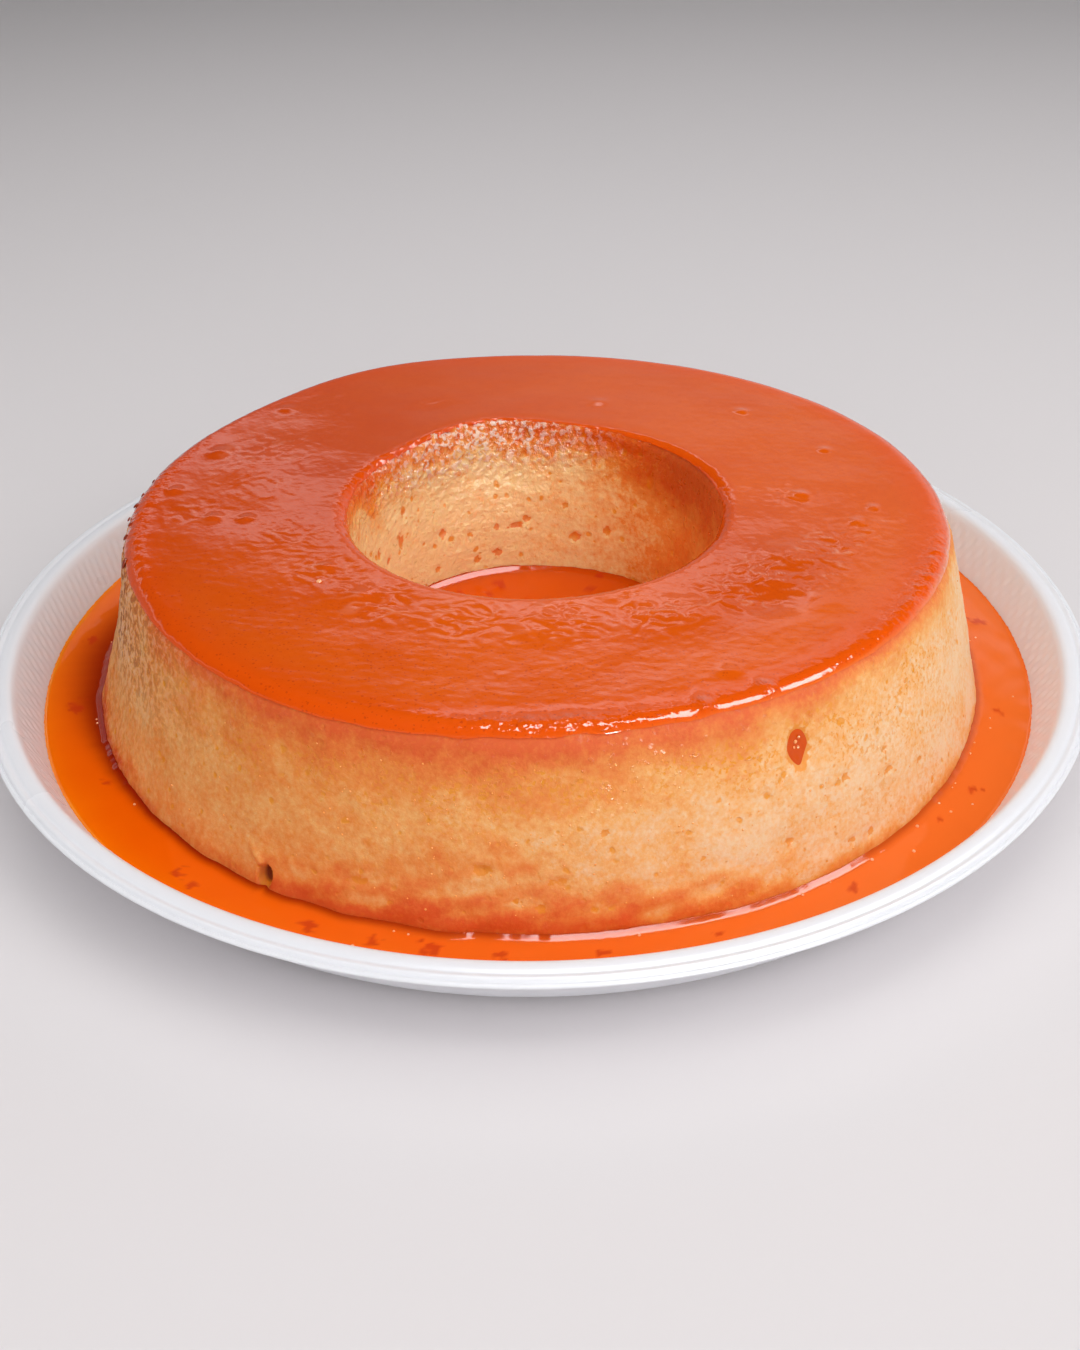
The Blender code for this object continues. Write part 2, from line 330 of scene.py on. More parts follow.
def pits(angle, height, radius, places, edge):
    """Depth of the pits at each point: round or oval bowls, with steeper sides for a larger edge.

    Each is its depth times e to the power of minus a distance, which is counted in half widths
    and then raised to the power of edge.
    """
    depth = 0.0
    for centre, level, half_width, half_height, deep in places:
        across = np.radians((angle - centre + 180) % 360 - 180) * radius / half_width
        bowl = (across**2 + ((height - level) / half_height) ** 2) ** (edge / 2)
        depth = depth + deep * np.exp(-bowl)
    return depth


def hills(x, y, places):
    """Height of round hills, or hollows where the height is negative, at each point of the top."""
    height = 0.0
    for centre, radius, half_width, high in places:
        away_x = x - radius * math.cos(math.radians(centre))
        away_y = y - radius * math.sin(math.radians(centre))
        height = height + high * np.exp(-(away_x**2 + away_y**2) / half_width**2)
    return height


def arc(centre_r, centre_z, radius, start, end, steps=24):
    """Points of a circular arc in an outline. Angles are in degrees from the outward radius."""
    angles = np.radians(np.linspace(start, end, steps + 1))
    return np.column_stack((centre_r + radius * np.cos(angles), centre_z + radius * np.sin(angles)))


def walk(points, step):
    """The same outline with points about one step apart, on straight lines between the given ones."""
    points = np.asarray(points, float)
    lengths = np.r_[0, np.cumsum(np.hypot(*np.diff(points, axis=0).T))]
    places = np.linspace(0, lengths[-1], max(round(lengths[-1] / step), 1) + 1)
    return np.column_stack([np.interp(places, lengths, points[:, k]) for k in (0, 1)])


def soft(points, steps):
    """A Catmull-Rom curve through the points of an outline, with this many steps between each two."""
    points = np.asarray(points, float)
    padded = np.vstack((2 * points[0] - points[1], points, 2 * points[-1] - points[-2]))
    share = np.linspace(0, 1, steps, endpoint=False)[:, None]
    spans = []
    for before, start, end, after in zip(padded, padded[1:], padded[2:], padded[3:]):
        cubic = 3 * start - before - 3 * end + after
        square = 2 * before - 5 * start + 4 * end - after
        spans.append(0.5 * (2 * start + (end - before) * share + square * share**2 + cubic * share**3))
    return np.vstack(spans + [points[-1:]])


def joined(*outlines):
    """One outline from several, without the points that two of them share."""
    points = np.vstack(outlines)
    keep = np.r_[True, np.hypot(*np.diff(points, axis=0).T) > 1e-7]
    return points[keep]


def normals_of(points):
    """Unit normals of an outline that runs anticlockwise, with its material on its left."""
    along = np.gradient(points, axis=0)
    along /= np.maximum(np.hypot(*along.T), 1e-12)[:, None]
    return np.column_stack((along[:, 1], -along[:, 0]))


def columns(count, close_ups=()):
    """Angles of the columns round a piece, in degrees.

    They lie closer together at the front, by FRONT_SHARE, and round each close-up, which is
    (angle, half width, times closer). The angles invert the running sum of that density.
    """
    steps = 7200
    angle = np.linspace(-180, 180, steps + 1)
    density = 1 + FRONT_SHARE * np.cos(np.radians(angle + 90))
    for centre, half_width, closer in close_ups:
        density += closer * around(angle, centre, half_width)
    running = np.r_[0, np.cumsum((density[1:] + density[:-1]) / 2)]
    places = np.arange(count) / count * running[-1]
    return np.interp(places, running, angle)


# Meshes --------------------------------------------------------------------------------------


def grid_faces(rows, cols, closed):
    """Four-cornered faces of a grid whose columns close round, and whose rows do too if closed."""
    row = np.arange(rows if closed else rows - 1)[:, None]
    col = np.arange(cols)[None, :]
    below, above = row * cols, (row + 1) % rows * cols
    after = (col + 1) % cols
    return np.stack((below + col, below + after, above + after, above + col), axis=-1).reshape(-1, 4)


def pole_faces(first, cols, pole):
    """Three-cornered faces from the row that starts at vertex first to one pole vertex."""
    col = np.arange(cols)
    return np.stack((first + (col + 1) % cols, first + col, np.full(cols, pole)), axis=-1)


def volume_of(points, faces):
    """Volume inside the faces: a sixth of the sum of each triangle's triple product."""
    a, b, c = points[faces[:, 0]], points[faces[:, 1]], points[faces[:, 2]]
    volume = np.einsum("ij,ij->i", a, np.cross(b, c)).sum()
    if faces.shape[1] == 4:
        volume += np.einsum("ij,ij->i", a, np.cross(c, points[faces[:, 3]])).sum()
    return volume / 6


def capped(points, poles):
    """Vertices and faces of a grid whose first and last rows close to these two points."""
    rows, cols = points.shape[:2]
    first_pole = rows * cols
    faces = [
        grid_faces(rows, cols, False),
        pole_faces(0, cols, first_pole),
        pole_faces(first_pole - cols, cols, first_pole + 1)[:, ::-1],
    ]
    return np.vstack((points.reshape(-1, 3), poles)), faces


def make_piece(name, points, face_sets, material, slot, stands_for=(), fields=None):
    """Puts points and faces into a new smooth object that faces outwards and rides on the part."""
    if sum(volume_of(points, faces) for faces in face_sets) < 0:
        face_sets = [faces[:, ::-1] for faces in face_sets]
    mesh = bpy.data.meshes.new(name)
    mesh.from_pydata(points, [], [face for faces in face_sets for face in faces.tolist()])
    mesh.shade_smooth()
    for field, values in (fields or {}).items():
        attribute = mesh.attributes.new(field, "FLOAT", "POINT")
        attribute.data.foreach_set("value", np.asarray(values, np.float32).ravel())
    mesh.materials.append(material)
    piece = bpy.data.objects.new(name, mesh)
    bpy.context.scene.collection.objects.link(piece)
    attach(piece, "root")
    if stands_for:
        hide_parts(*stands_for)
    return piece


def turned(radius, height, angle):
    """Points in space from radius, height and angle, each an array of rows and columns."""
    return np.stack((*flat(radius, angle), height), axis=-1)


def ring_piece(name, points, material, slot, **settings):
    """A piece from a grid whose rows close as its columns do, like a tyre."""
    rows, cols = points.shape[:2]
    faces = [grid_faces(rows, cols, True)]
    return make_piece(name, points.reshape(-1, 3), faces, material, slot, **settings)


def disc_piece(name, points, material, slot, fields=None, **settings):
    """A piece from a grid whose first and last rows close to a point on the axis."""
    poles = [(0, 0, points[0, :, 2].mean()), (0, 0, points[-1, :, 2].mean())]
    vertices, faces = capped(points, poles)
    fields = {
        field: np.r_[values.ravel(), values[0].mean(), values[-1].mean()]
        for field, values in (fields or {}).items()
    }
    return make_piece(name, vertices, faces, material, slot, fields=fields, **settings)


# Shapes of the solids ------------------------------------------------------------------------


def wall_radius(z):
    """Inner radius of the plate's straight wall at height z."""
    return RIM_INNER_RADIUS - WALL_LEAN * (RIM_HEIGHT - z)


def wall_fillet(depth):
    """The curve from the floor into the wall, on a face this deep below the inner one."""
    lean = math.atan(WALL_LEAN)
    tangent = WALL_FILLET * math.tan((math.pi / 2 - lean) / 2)
    centre_r = wall_radius(FLOOR_TOP) - tangent
    return arc(centre_r, FLOOR_TOP + WALL_FILLET, WALL_FILLET + depth, -90, -math.degrees(lean))


def shoulder_height():
    """Height at which the custard's side turns into its shoulder."""
    return CUSTARD_TOP - SHOULDER_ROUND * (1 - math.sin(SIDE_MEETS_SHOULDER))


def side_radius(z):
    """Radius of the custard's outer side at height z: a straight taper up to the round shoulder."""
    shoulder_radius = SHOULDER_RADIUS + SHOULDER_ROUND * math.cos(SIDE_MEETS_SHOULDER)
    return shoulder_radius + (BASE_RADIUS - shoulder_radius) * line(z, shoulder_height(), CARAMEL_LEVEL)


def hole_radius(z):
    """Radius of the custard's hole at height z: wider towards the top."""
    widening = HOLE_TOP_RADIUS - HOLE_BASE_RADIUS
    return HOLE_BASE_RADIUS + widening * line(z, CUSTARD_BOTTOM, CUSTARD_TOP)


def outline_sway(angle):
    """How far the custard's outline strays from a circle at this angle: a sum of slow waves."""
    return sum(size * np.sin(np.radians(count * angle + phase)) for count, phase, size in OUTLINE_WAVES)


def out_of_round(radius, height, angle):
    """Radius and height of a point of the true ring once it is pushed out of round, as in the solids."""
    middle = (SHOULDER_RADIUS + LIP_RADIUS) / 2
    outer = line(radius, middle, SHOULDER_RADIUS) * line(radius, STILL_RADIUS, BASE_RADIUS + 0.3 * MM)
    inner = line(radius, middle, LIP_RADIUS)
    up = line(height, CARAMEL_LEVEL, CUSTARD_TOP)
    shift = outer * outline_sway(angle)
    shift = shift + outer * BACK_BULGE[2] * around(angle, *BACK_BULGE[:2]) * up**3
    shift = shift - outer * LEFT_HOLLOW[2] * around(angle, *LEFT_HOLLOW[:2]) * np.sin(np.pi * up)
    shift = shift + inner * WORN_LIP[2] * around(angle, *WORN_LIP[:2]) * up**4
    across = line(radius, LIP_RADIUS, SHOULDER_RADIUS)
    lift = hills(*flat(radius, angle), TOP_SWELLS) - TOP_DISH * np.sin(np.pi * across)
    lift = lift * ramp(up, 0.8, 1.0) * ramp(across, 0.0, 0.12) * ramp(across, 1.0, 0.88)
    return radius + shift, height + lift


def crisp_lip(radius, height, angle):
    """The lip drawn in towards its corner at the back of the hole, where it is nearly sharp.

    Its round keeps its place at the front, and shrinks to 1.1 mm at the back. What moves blends
    out 62 mm from the middle and 30 mm up.
    """
    crisp_round, still_radius, still_height = 1.1 * MM, 62 * MM, 30 * MM
    corner = HOLE_TOP_RADIUS
    crisp_radii = (corner, corner + crisp_round, still_radius)
    sharp_r = np.interp(radius, (corner, LIP_RADIUS, still_radius), crisp_radii)
    sharp_r = np.where((radius < corner) | (radius > still_radius), radius, sharp_r)
    crisp_heights = (still_height, CUSTARD_TOP - crisp_round, CUSTARD_TOP)
    sharp_z = np.interp(height, (still_height, LIP_BOTTOM, CUSTARD_TOP), crisp_heights)
    sharp_z = np.where((height < still_height) | (radius > LIP_RADIUS), height, sharp_z)
    share = around(angle, 92, 62)
    return radius + share * (sharp_r - radius), height + share * (sharp_z - height)


# Custard and the film of caramel on it -------------------------------------------------------


class Outline:
    """An outline that can be read at any length along it, with its normals."""

    def __init__(self, points):
        self.points = points
        self.lengths = np.r_[0, np.cumsum(np.hypot(*np.diff(points, axis=0).T))]
        self.normals = normals_of(points)

    def at(self, length):
        """Radius, height and the two parts of the normal at these lengths."""
        values = (*self.points.T, *self.normals.T)
        return [np.interp(length, self.lengths, value) for value in values]

    def length_at(self, height, outside):
        """Length at which the outline passes this height, on its outer or its inner stretch."""
        top = int(np.argmax(self.points[:, 1]))
        if outside:
            return np.interp(height, self.points[: top + 1, 1], self.lengths[: top + 1])
        last = len(self.points) - 1 - int(np.argmax(self.points[::-1, 1]))
        return np.interp(-height, -self.points[last:, 1], self.lengths[last:])


def custard_outline():
    """The custard's section from its outer foot, up the side, over the top and down the hole."""
    turn = math.degrees(SIDE_MEETS_SHOULDER)
    foot = CARAMEL_LEVEL - HIDDEN_SKIN
    heights = np.linspace(foot, shoulder_height(), 60)
    side = np.column_stack((side_radius(heights), heights))
    shoulder = arc(SHOULDER_RADIUS, CUSTARD_TOP - SHOULDER_ROUND, SHOULDER_ROUND, turn, 90)
    lip = arc(LIP_RADIUS, LIP_BOTTOM, LIP_ROUND, 90, 180)
    heights = np.linspace(LIP_BOTTOM, foot, 60)
    blend = ramp(heights, CUSTARD_TOP - 3 * LIP_ROUND, LIP_BOTTOM)
    hole = hole_radius(heights) + (HOLE_TOP_RADIUS - hole_radius(heights)) * blend
    return Outline(walk(joined(side, shoulder, lip, np.column_stack((hole, heights))), 0.1 * MM))


def film_edge(angle):
    """Height on the side at which the film ends: a level line with sags, waves and ragged teeth."""
    level = swells(angle, 47.3, FILM_SAGS) + 0.1 * np.sin(np.radians(7 * angle))
    teeth = 0.10 * np.sin(np.radians(41 * angle)) + 0.08 * np.sin(np.radians(67 * angle + 40))
    return (level + teeth * swells(angle, 0.3, RAGGED_EDGE)) * MM


def film_inner_edge(angle):
    """Height in the hole down to which the film runs: lowest at the front, a little wavy."""
    return (47.2 + 1.3 * around(angle, 85, 62) + 0.2 * np.sin(np.radians(5 * angle))) * MM


def film_share(outline, length, angle):
    """How fully the film is there, from 0 at both its edges to 1 some millimetres in."""
    start = outline.length_at(film_edge(angle), True)
    end = outline.length_at(film_inner_edge(angle), False)
    return ramp(np.minimum(length - start, end - length), 0, 6 * MM)


def outer_share(radius):
    """How far out a point lies: 0 in the hole and on the inner half of the top, 1 on the side."""
    return ramp(radius, 70 * MM, 94 * MM)


def level_folds(angle, height):
    """Folds of the skin above the foot: a random field 5.5 mm high, drawn out along the girth."""
    return waves(np.radians(angle) * BASE_RADIUS * 0.42, height, 0, 5.5 * MM, 5)


def hole_knobs(x, y, height):
    """Knobs of the hole's wall: a rough field, 2.8 mm from one to the next."""
    return rough(x, y, height, 2.8 * MM, 6)


def custard_relief(radius, height, angle):
    """How far the surface stands out from the plain ring along its normal, as a sum of fields.

    Everywhere a faint grain of waves 3, 8 and 20 mm long, nearly none of it on the top. On the
    side, streaks drawn out upwards at the left and at the right, soft level folds above the
    foot, the pits, and the tear with its curled skin. In the hole knobs, faint low down and
    strongest high up at the back left, and its pits. On the top, ripples in places and small
    marks.
    """
    x, y = flat(radius, angle)
    girth = np.radians(angle) * BASE_RADIUS
    outside = ramp(radius, 88 * MM, 94 * MM)
    inside = ramp(radius, 54 * MM, 49 * MM)
    on_top = ramp(height, CUSTARD_TOP - 3 * MM, CUSTARD_TOP - 0.4 * MM)

    grain = 0.03 * waves(x, y, height, 3 * MM, 1) + 0.05 * waves(x, y, height, 8 * MM, 2)
    grain = grain + 0.12 * waves(x, y, height, 20 * MM, 3)
    relief = grain * MM * (1 - 0.88 * on_top)

    streaks = waves(girth, height * 0.22, 0, 2.6 * MM, 4)
    streaks = streaks * (around(angle, -172, 26) + 0.6 * around(angle, -8, 20))
    folds = level_folds(angle, height) * around(angle, -92, 34) * ramp(height, 21 * MM, 13 * MM)
    side = 0.08 * streaks + 0.15 * folds
    relief = relief + outside * side * MM * (1 - on_top)
    relief = relief - outside * pits(angle, height, radius, SIDE_PITS, 3.0)
    relief = relief - outside * pits(angle, height, radius, (TEAR,), 5.0)
    relief = relief + outside * tear_flap(angle, height)

    worn = around(angle, *KNOBBLY_PATCH) * ramp(height, 24 * MM, 40 * MM)
    knobs = 0.24 * hole_knobs(x, y, height)
    relief = relief + inside * knobs * MM * (0.12 + worn) * ramp(radius, 48 * MM, 45 * MM)
    relief = relief - inside * pits(angle, height, radius, HOLE_PITS, 3.0)

    ripples = 0.10 * wrinkles(x, y) + 0.05 * rough(x, y, x * 0, 5 * MM, 12)
    relief = relief + on_top * ripples * MM * np.clip(hills(x, y, RIPPLED_PLACES), 0, 1.2)
    return relief + on_top * hills(x, y, TOP_MARKS)


def tear_flap(angle, height):
    """The curled skin above the tear: a short ridge that runs up and to the left of it."""
    along = np.radians((angle + 122.0 + 180) % 360 - 180) * BASE_RADIUS
    rise = height - 14.0 * MM
    ridge = (along + rise * 1.3) / (1.1 * MM)
    reach = np.hypot(along, rise) / (5.0 * MM)
    left = ramp(along, 1.5 * MM, -0.5 * MM)
    return 0.75 * MM * np.exp(-(ridge**2) - reach**4) * left


def custard_points(outline, length, angle, raise_by=0.0):
    """Points of the custard's surface at these lengths and angles, raised along the normal."""
    radius, height, normal_r, normal_z = outline.at(length)
    relief = custard_relief(radius, height, angle) + raise_by
    moved_r, moved_z = out_of_round(*crisp_lip(radius, height, angle), angle)
    moved_z = np.minimum(moved_z + normal_z * relief, CAD_BOX[1].z - 0.02 * MM)
    return turned(moved_r + normal_r * relief, moved_z, angle)


def custard_stain(outline, length, angle):
    """How far caramel has soaked in, from 0 to 1.

    On the side it is nearly 1 at the film's edge and dies away downwards over some millimetres,
    less so at the far left. It rises again in a band above the foot, highest at the front and
    faint just left of the tear, and the skin between is a little soaked at the front left. At the
    far left the band is wider and stronger and the low side carries more of it, which is painted
    shade. The hole is soaked at its right, more so high up, below its lip all round, and in its
    upper left, with paler tops on the knobs.
    """
    radius, height, _, _ = outline.at(length)
    x, y = flat(radius, angle)
    outside = outer_share(radius)
    uneven = 0.035 * waves(x, y, height, 13 * MM, 21) + 0.02 * waves(x, y, height, 4 * MM, 22)

    below_film = np.maximum(film_edge(angle) - height, 0)
    fade = (2.2 + 3.6 * around(angle, -110, 38)) * MM * (1 + 4 * uneven)
    soaked_top = np.exp(-below_film / fade) * (1 - 0.45 * around(angle, -168, 22))
    slow_top = 0.40 * np.exp(-below_film / (14 * MM)) * around(angle, -92, 50)
    slow_top = slow_top * ramp(height, 30 * MM, 36 * MM)

    above_foot = np.maximum(height - CARAMEL_LEVEL, 0)
    creases = 0.30 * level_folds(angle, height)
    # The band is wider and stronger at the far left, where it stands for painted shade
    foot_band_with_painted_shade = swells(angle, 2.2, FOOT_BAND_WITH_PAINTED_SHADE) * MM * np.maximum(1 + 4 * uneven + creases, 0.4)
    soaked_foot_with_painted_shade = np.exp(-((above_foot / foot_band_with_painted_shade) ** 2.0)) * swells(angle, 0.42, SOAKED_FOOT_WITH_PAINTED_SHADE)
    soaked_foot_with_painted_shade = soaked_foot_with_painted_shade * (1 - 0.65 * around(angle, -132, 8))

    body = swells(angle, 0.05, SOAKED_SIDE)
    # Painted shade: more stain low down at the far left
    body = body + 0.25 * around(angle, -166, 20) * ramp(height, 30 * MM, 12 * MM)
    side = body + uneven + slow_top + (0.84 - body) * soaked_top + soaked_foot_with_painted_shade

    below_lip = np.maximum(CUSTARD_TOP - 3 * MM - height, 0)
    fade = (4.8 + 3.0 * around(angle, 90, 50)) * MM * np.maximum(1 + 5 * uneven, 0.4)
    hole = around(angle, 22, 46) * (0.64 + 0.20 * ramp(height, 32 * MM, 42 * MM))
    hole = hole + 0.70 * np.exp(-((below_lip / fade) ** 1.4)) + uneven
    knobs = hole_knobs(x, y, height) * around(angle, *KNOBBLY_PATCH) * ramp(height, 30 * MM, 42 * MM)
    hole = hole - 0.12 * knobs + 0.32 * around(angle, 160, 15) * ramp(height, 29 * MM, 38 * MM)
    return np.clip(outside * side + (1 - outside) * hole, 0, 1)


def custard_hollows(radius, height, angle):
    """How far each point lies in a pit, from 0 to 1, or up to 2 in the tear."""
    outside = outer_share(radius)
    marks = pits(angle, height, radius, SIDE_PITS, 3.0) * outside
    marks = marks + pits(angle, height, radius, HOLE_PITS, 3.0) * (1 - outside)
    torn = pits(angle, height, radius, (TEAR,), 4.0) * outside
    return np.minimum(marks / (0.55 * MM), 1) + np.minimum(2 * torn / TEAR[4], 2)


def custard_fields(radius, height, angle):
    """What the custard's material reads at each point, besides the stain, by name.

    wet is the hole's glossy patch, coarse the rough skin at the left, flecked how many fine
    flecks lie on the skin, hollow how far a point lies in a pit, inside is 1 in the hole, and the
    shade field is how much painted shade darkens the skin: a little all over the side, most at its
    front left, and high up in the hole's right.
    """
    inside = ramp(radius, 60 * MM, 50 * MM)
    band = np.exp(-(((height - 39 * MM) / (7 * MM)) ** 2))
    flecked = 0.25 + around(angle, -95, 60) * band + 0.35 * around(angle, -45, 30)
    # Painted shade: a little over all the side, most at its front left; the hole's right gets it too
    browned = (1 - inside) * (0.35 + 0.65 * around(angle, -125, 60))
    return {
        "wet": inside * around(angle, 112, 50) * (0.22 + 0.78 * ramp(height, 33 * MM, 42 * MM)),
        "coarse": (1 - inside) * around(angle, -174, 28) * (0.30 + 0.70 * ramp(height, 20 * MM, 34 * MM)),
        "flecked": (1 - inside) * flecked + 0.1 * inside,
        "hollow": custard_hollows(radius, height, angle),
        "inside": inside,
        "browned": browned + 1.6 * inside * around(angle, 30, 28) * ramp(height, 27 * MM, 41 * MM),
    }


def make_custard(settings):
    """The ring of custard, closed underneath, replacing its solid.

    Its rows are closer together on the side and in the hole than under the film.
    """
    outline = custard_outline()
    angle = columns(RING_COLUMNS, ((-122, 3.5, 2.2), (-59, 3.5, 1.6)))[None, :]
    film_start = outline.length_at(shoulder_height(), True)
    film_end = outline.length_at(LIP_BOTTOM, False)
    lengths = np.r_[
        np.linspace(0, film_start, 62, endpoint=False),
        np.linspace(film_start, film_end, 17, endpoint=False),
        np.linspace(film_end, outline.lengths[-1], 54),
    ][:, None]
    points = custard_points(outline, lengths, angle, -settings.sink * film_share(outline, lengths, angle))
    stain = custard_stain(outline, lengths, angle)
    radius, height, _, _ = outline.at(lengths)
    under = np.array(
        (
            (hole_radius(CUSTARD_BOTTOM), 4 * MM),
            (HOLE_BASE_RADIUS, CUSTARD_BOTTOM),
            (70 * MM, CUSTARD_BOTTOM),
            (BASE_RADIUS - 1.6 * MM, CUSTARD_BOTTOM),
            (BASE_RADIUS, 3.7 * MM),
        )
    )
    hidden = turned(*out_of_round(under[:, :1], under[:, 1:], angle), angle)
    rest = np.zeros((len(under), angle.size))
    fields = {
        field: np.vstack((np.broadcast_to(values, stain.shape), rest))
        for field, values in custard_fields(radius, height, angle).items()
    }
    fields["stain"] = np.vstack((stain, rest + 1))
    points = np.concatenate((points, hidden))
    material = custard_material(settings)
    ring_piece("custard", points, material, "custard", stands_for=("custard_ring",), fields=fields)


def edge_band(length, start, end, width):
    """1 this far in from the film's outer edge, fading both ways, and 0 near its inner edge."""
    return np.exp(-(((length - start) / width - 1) ** 2)) * (end - length > 20 * MM)


def film_fields(outline, length, start, end, angle):
    """What the film's material reads at each point, by name.

    rim and lip rise to 1 at the outer and the inner edge, specked is how many specks lie in the
    film, the dark field gives painted shade right of the hole and on the hole's right lip and a
    darker film at the back left, chipped where its outer edge is broken, the reflection field a
    painted reflection on its last millimetre at the right, thin its last millimetre at the front
    right, and the ripple field painted highlights on the tops of its ripples.
    """
    radius = outline.at(length)[0]
    lip = 1 - line(end - length, 0, 5 * MM)
    # Painted shade right of the hole and on the hole's right lip, and a darker film at the back left
    thick = around(angle, 160, 75) + 0.6 * around(angle, -32, 28) * ramp(radius, 80 * MM, 68 * MM)
    x, y = flat(radius, angle)
    # Painted highlights on the tops of the ripples
    crest = wrinkles(x, y) * np.clip(hills(x, y, RIPPLED_PLACES), 0, 1)
    return {
        "rim": 1 - line(length - start, 0, 12 * MM),
        "lip": lip,
        "specked": np.clip(0.25 + around(angle, -115, 60) * line(radius, 55 * MM, 75 * MM), 0, 1),
        "thick": thick + 0.9 * around(angle, 25, 50) * lip,
        "chipped": edge_band(length, start, end, 2.6 * MM) * swells(angle, 0.06, CHIPPED_EDGE),
        # Painted reflection on the film's last millimetre at the right
        "pale": (1 - line(length - start, 0, 1.6 * MM)) * around(angle, -12, 16),
        "thin": (1 - line(length - start, 0, 1.1 * MM)) * (0.1 + 0.9 * around(angle, -45, 35)),
        "crest": crest * ramp(radius, 92 * MM, 86 * MM),
    }


def make_film(caramel):
    """The film of caramel over the top, whose ragged edge hangs over the shoulder.

    It is let into the custard. Its upper face follows the custard's and stands out by a few
    hundredths of a millimetre, thinning to a wedge over the last 0.4 mm, with chips along its
    outer edge. Its lower face lies inside the custard.
    """
    outline = custard_outline()
    angle = columns(FILM_COLUMNS)[None, :]
    start = outline.length_at(film_edge(angle), True)
    end = outline.length_at(film_inner_edge(angle), False)
    edge = np.array((0.0, 0.02, 0.06, 0.12, 0.22, 0.4)) * MM
    spread = np.linspace(0, 1, 120)[1:-1]
    between_edges = start + edge[-1] + (end - start - 2 * edge[-1]) * spread[:, None]
    lengths = np.concatenate((start + edge[:, None], between_edges, end - edge[::-1, None]))
    from_edge = np.minimum(lengths - start, end - lengths)
    wedge = ramp(from_edge, 0, edge[-1])
    chips = rough(np.radians(angle) * BASE_RADIUS, lengths, 0, 3.0 * MM, 41)
    chips = chips * edge_band(lengths, start, end, 2.4 * MM) * swells(angle, 0.2, BROKEN_EDGE)
    lifted = (0.035 + 0.035 * ramp(from_edge, 0.4 * MM, 4 * MM)) * MM
    upper = custard_points(outline, lengths, angle, lifted * wedge + 0.06 * MM * chips - 0.01 * MM)
    back = lengths[::-9]
    lower = custard_points(outline, back, angle, -caramel.film_thickness)
    fields = film_fields(outline, np.concatenate((lengths, back)), start, end, angle)
    material = film_material(caramel)
    ring_piece("caramel_film", np.concatenate((upper, lower)), material, "caramel", fields=fields)


# Caramel in the plate ------------------------------------------------------------------------


def meniscus(distance, reach, slope=0.55):
    """How far the caramel climbs a wall at this distance from it.

    It rises evenly from the reach to the wall, and eases into the level caramel.
    """
    ease = 0.1 * MM
    return slope * ease * np.log1p(np.exp((reach - distance) / ease))


def custard_contact(angle):
    """Radius of the custard's side where the caramel meets it."""
    outline = custard_outline()
    length = outline.length_at(CARAMEL_LEVEL + 0.6 * MM, True) + 0 * angle
    points = custard_points(outline, length, angle)
    return np.hypot(points[..., 0], points[..., 1])


def sunk_bits(x, y):
    """How dark the bits sunk in the caramel make it, from 0 to 1: lobed blots with soft edges."""
    places = [(*place, 1.0) for place in SUNK_BITS]
    blots = hills(x, y, places)
    lobed = blots + 0.22 * waves(x, y, x * 0, 2.2 * MM, 31)
    return ramp(lobed, 0.45, 0.8) * (blots > 0.1)


def make_moat(caramel):
    """The caramel round the custard: level, with a meniscus at both shores, closed underneath.

    Its rows are closest at the shores. Beside the custard it gets painted shade, widest at the far
    left, and everywhere but at the front left a painted sheen.
    """
    angle = columns(RING_COLUMNS)[None, :]
    shore = custard_contact(angle)
    far = wall_radius(CARAMEL_LEVEL + 0.5 * MM)
    near_rows = (0, 0.01, 0.025, 0.045, 0.065, 0.08, 0.095, 0.115, 0.14)
    spread = np.r_[near_rows, np.linspace(0.18, 0.93, 20), (0.95, 0.97, 0.985, 1)]
    radius = shore + (far - shore) * spread[:, None]
    height = CARAMEL_LEVEL + meniscus(radius - shore, caramel.meniscus_reach)
    height = height + meniscus(far - radius, 0.6 * MM)
    height = height + 0.02 * MM * waves(*flat(radius, angle), 0, 9 * MM, 32)
    upper = turned(radius, height, angle)
    bed = np.vstack(
        (
            (wall_radius(CARAMEL_LEVEL) + 0.3 * MM, CARAMEL_LEVEL),
            wall_fillet(0.25 * MM)[::-4],
            (BASE_RADIUS - 3 * MM, CUSTARD_BOTTOM - 0.4 * MM),
        )
    )
    lower = turned(bed[:, :1] + 0 * angle, bed[:, 1:] + 0 * angle, angle)
    inner = turned(shore[:1] - 0.6 * MM, CARAMEL_LEVEL + 0 * angle, angle)
    points = np.concatenate((upper, lower, inner))
    x, y = points[..., 0], points[..., 1]
    radii = np.hypot(x, y)
    # Painted shade beside the custard: wider at the far left, stronger towards the front left
    painted_shade_width = (1.1 + 7.0 * around(angle, -180, 21)) * MM
    shade = np.exp(-((np.maximum(radii - shore, 0) / painted_shade_width) ** 2))
    fields = {
        "depth": np.interp(radii, *moat_depth()) / (CARAMEL_LEVEL - FLOOR_TOP),
        "shade": shade * (0.5 + 0.5 * around(angle, -155, 70)),
        # Painted sheen: paler and pinker everywhere but at the front left
        "milky": 1 - around(angle, -145, 72) + 0 * radii,
        "bits": sunk_bits(x, y),
    }
    material = caramel_material("caramel_liquid", caramel)
    ring_piece(
        "caramel_moat_surface", points, material, "caramel", stands_for=("caramel_moat",), fields=fields
    )


def moat_depth():
    """Radii over the plate's rounded bed, and how deep the caramel stands at each."""
    bed = wall_fillet(0.0)
    bed = np.vstack((bed, ((wall_radius(CARAMEL_LEVEL), CARAMEL_LEVEL),)))
    return bed[:, 0], CARAMEL_LEVEL - bed[:, 1]


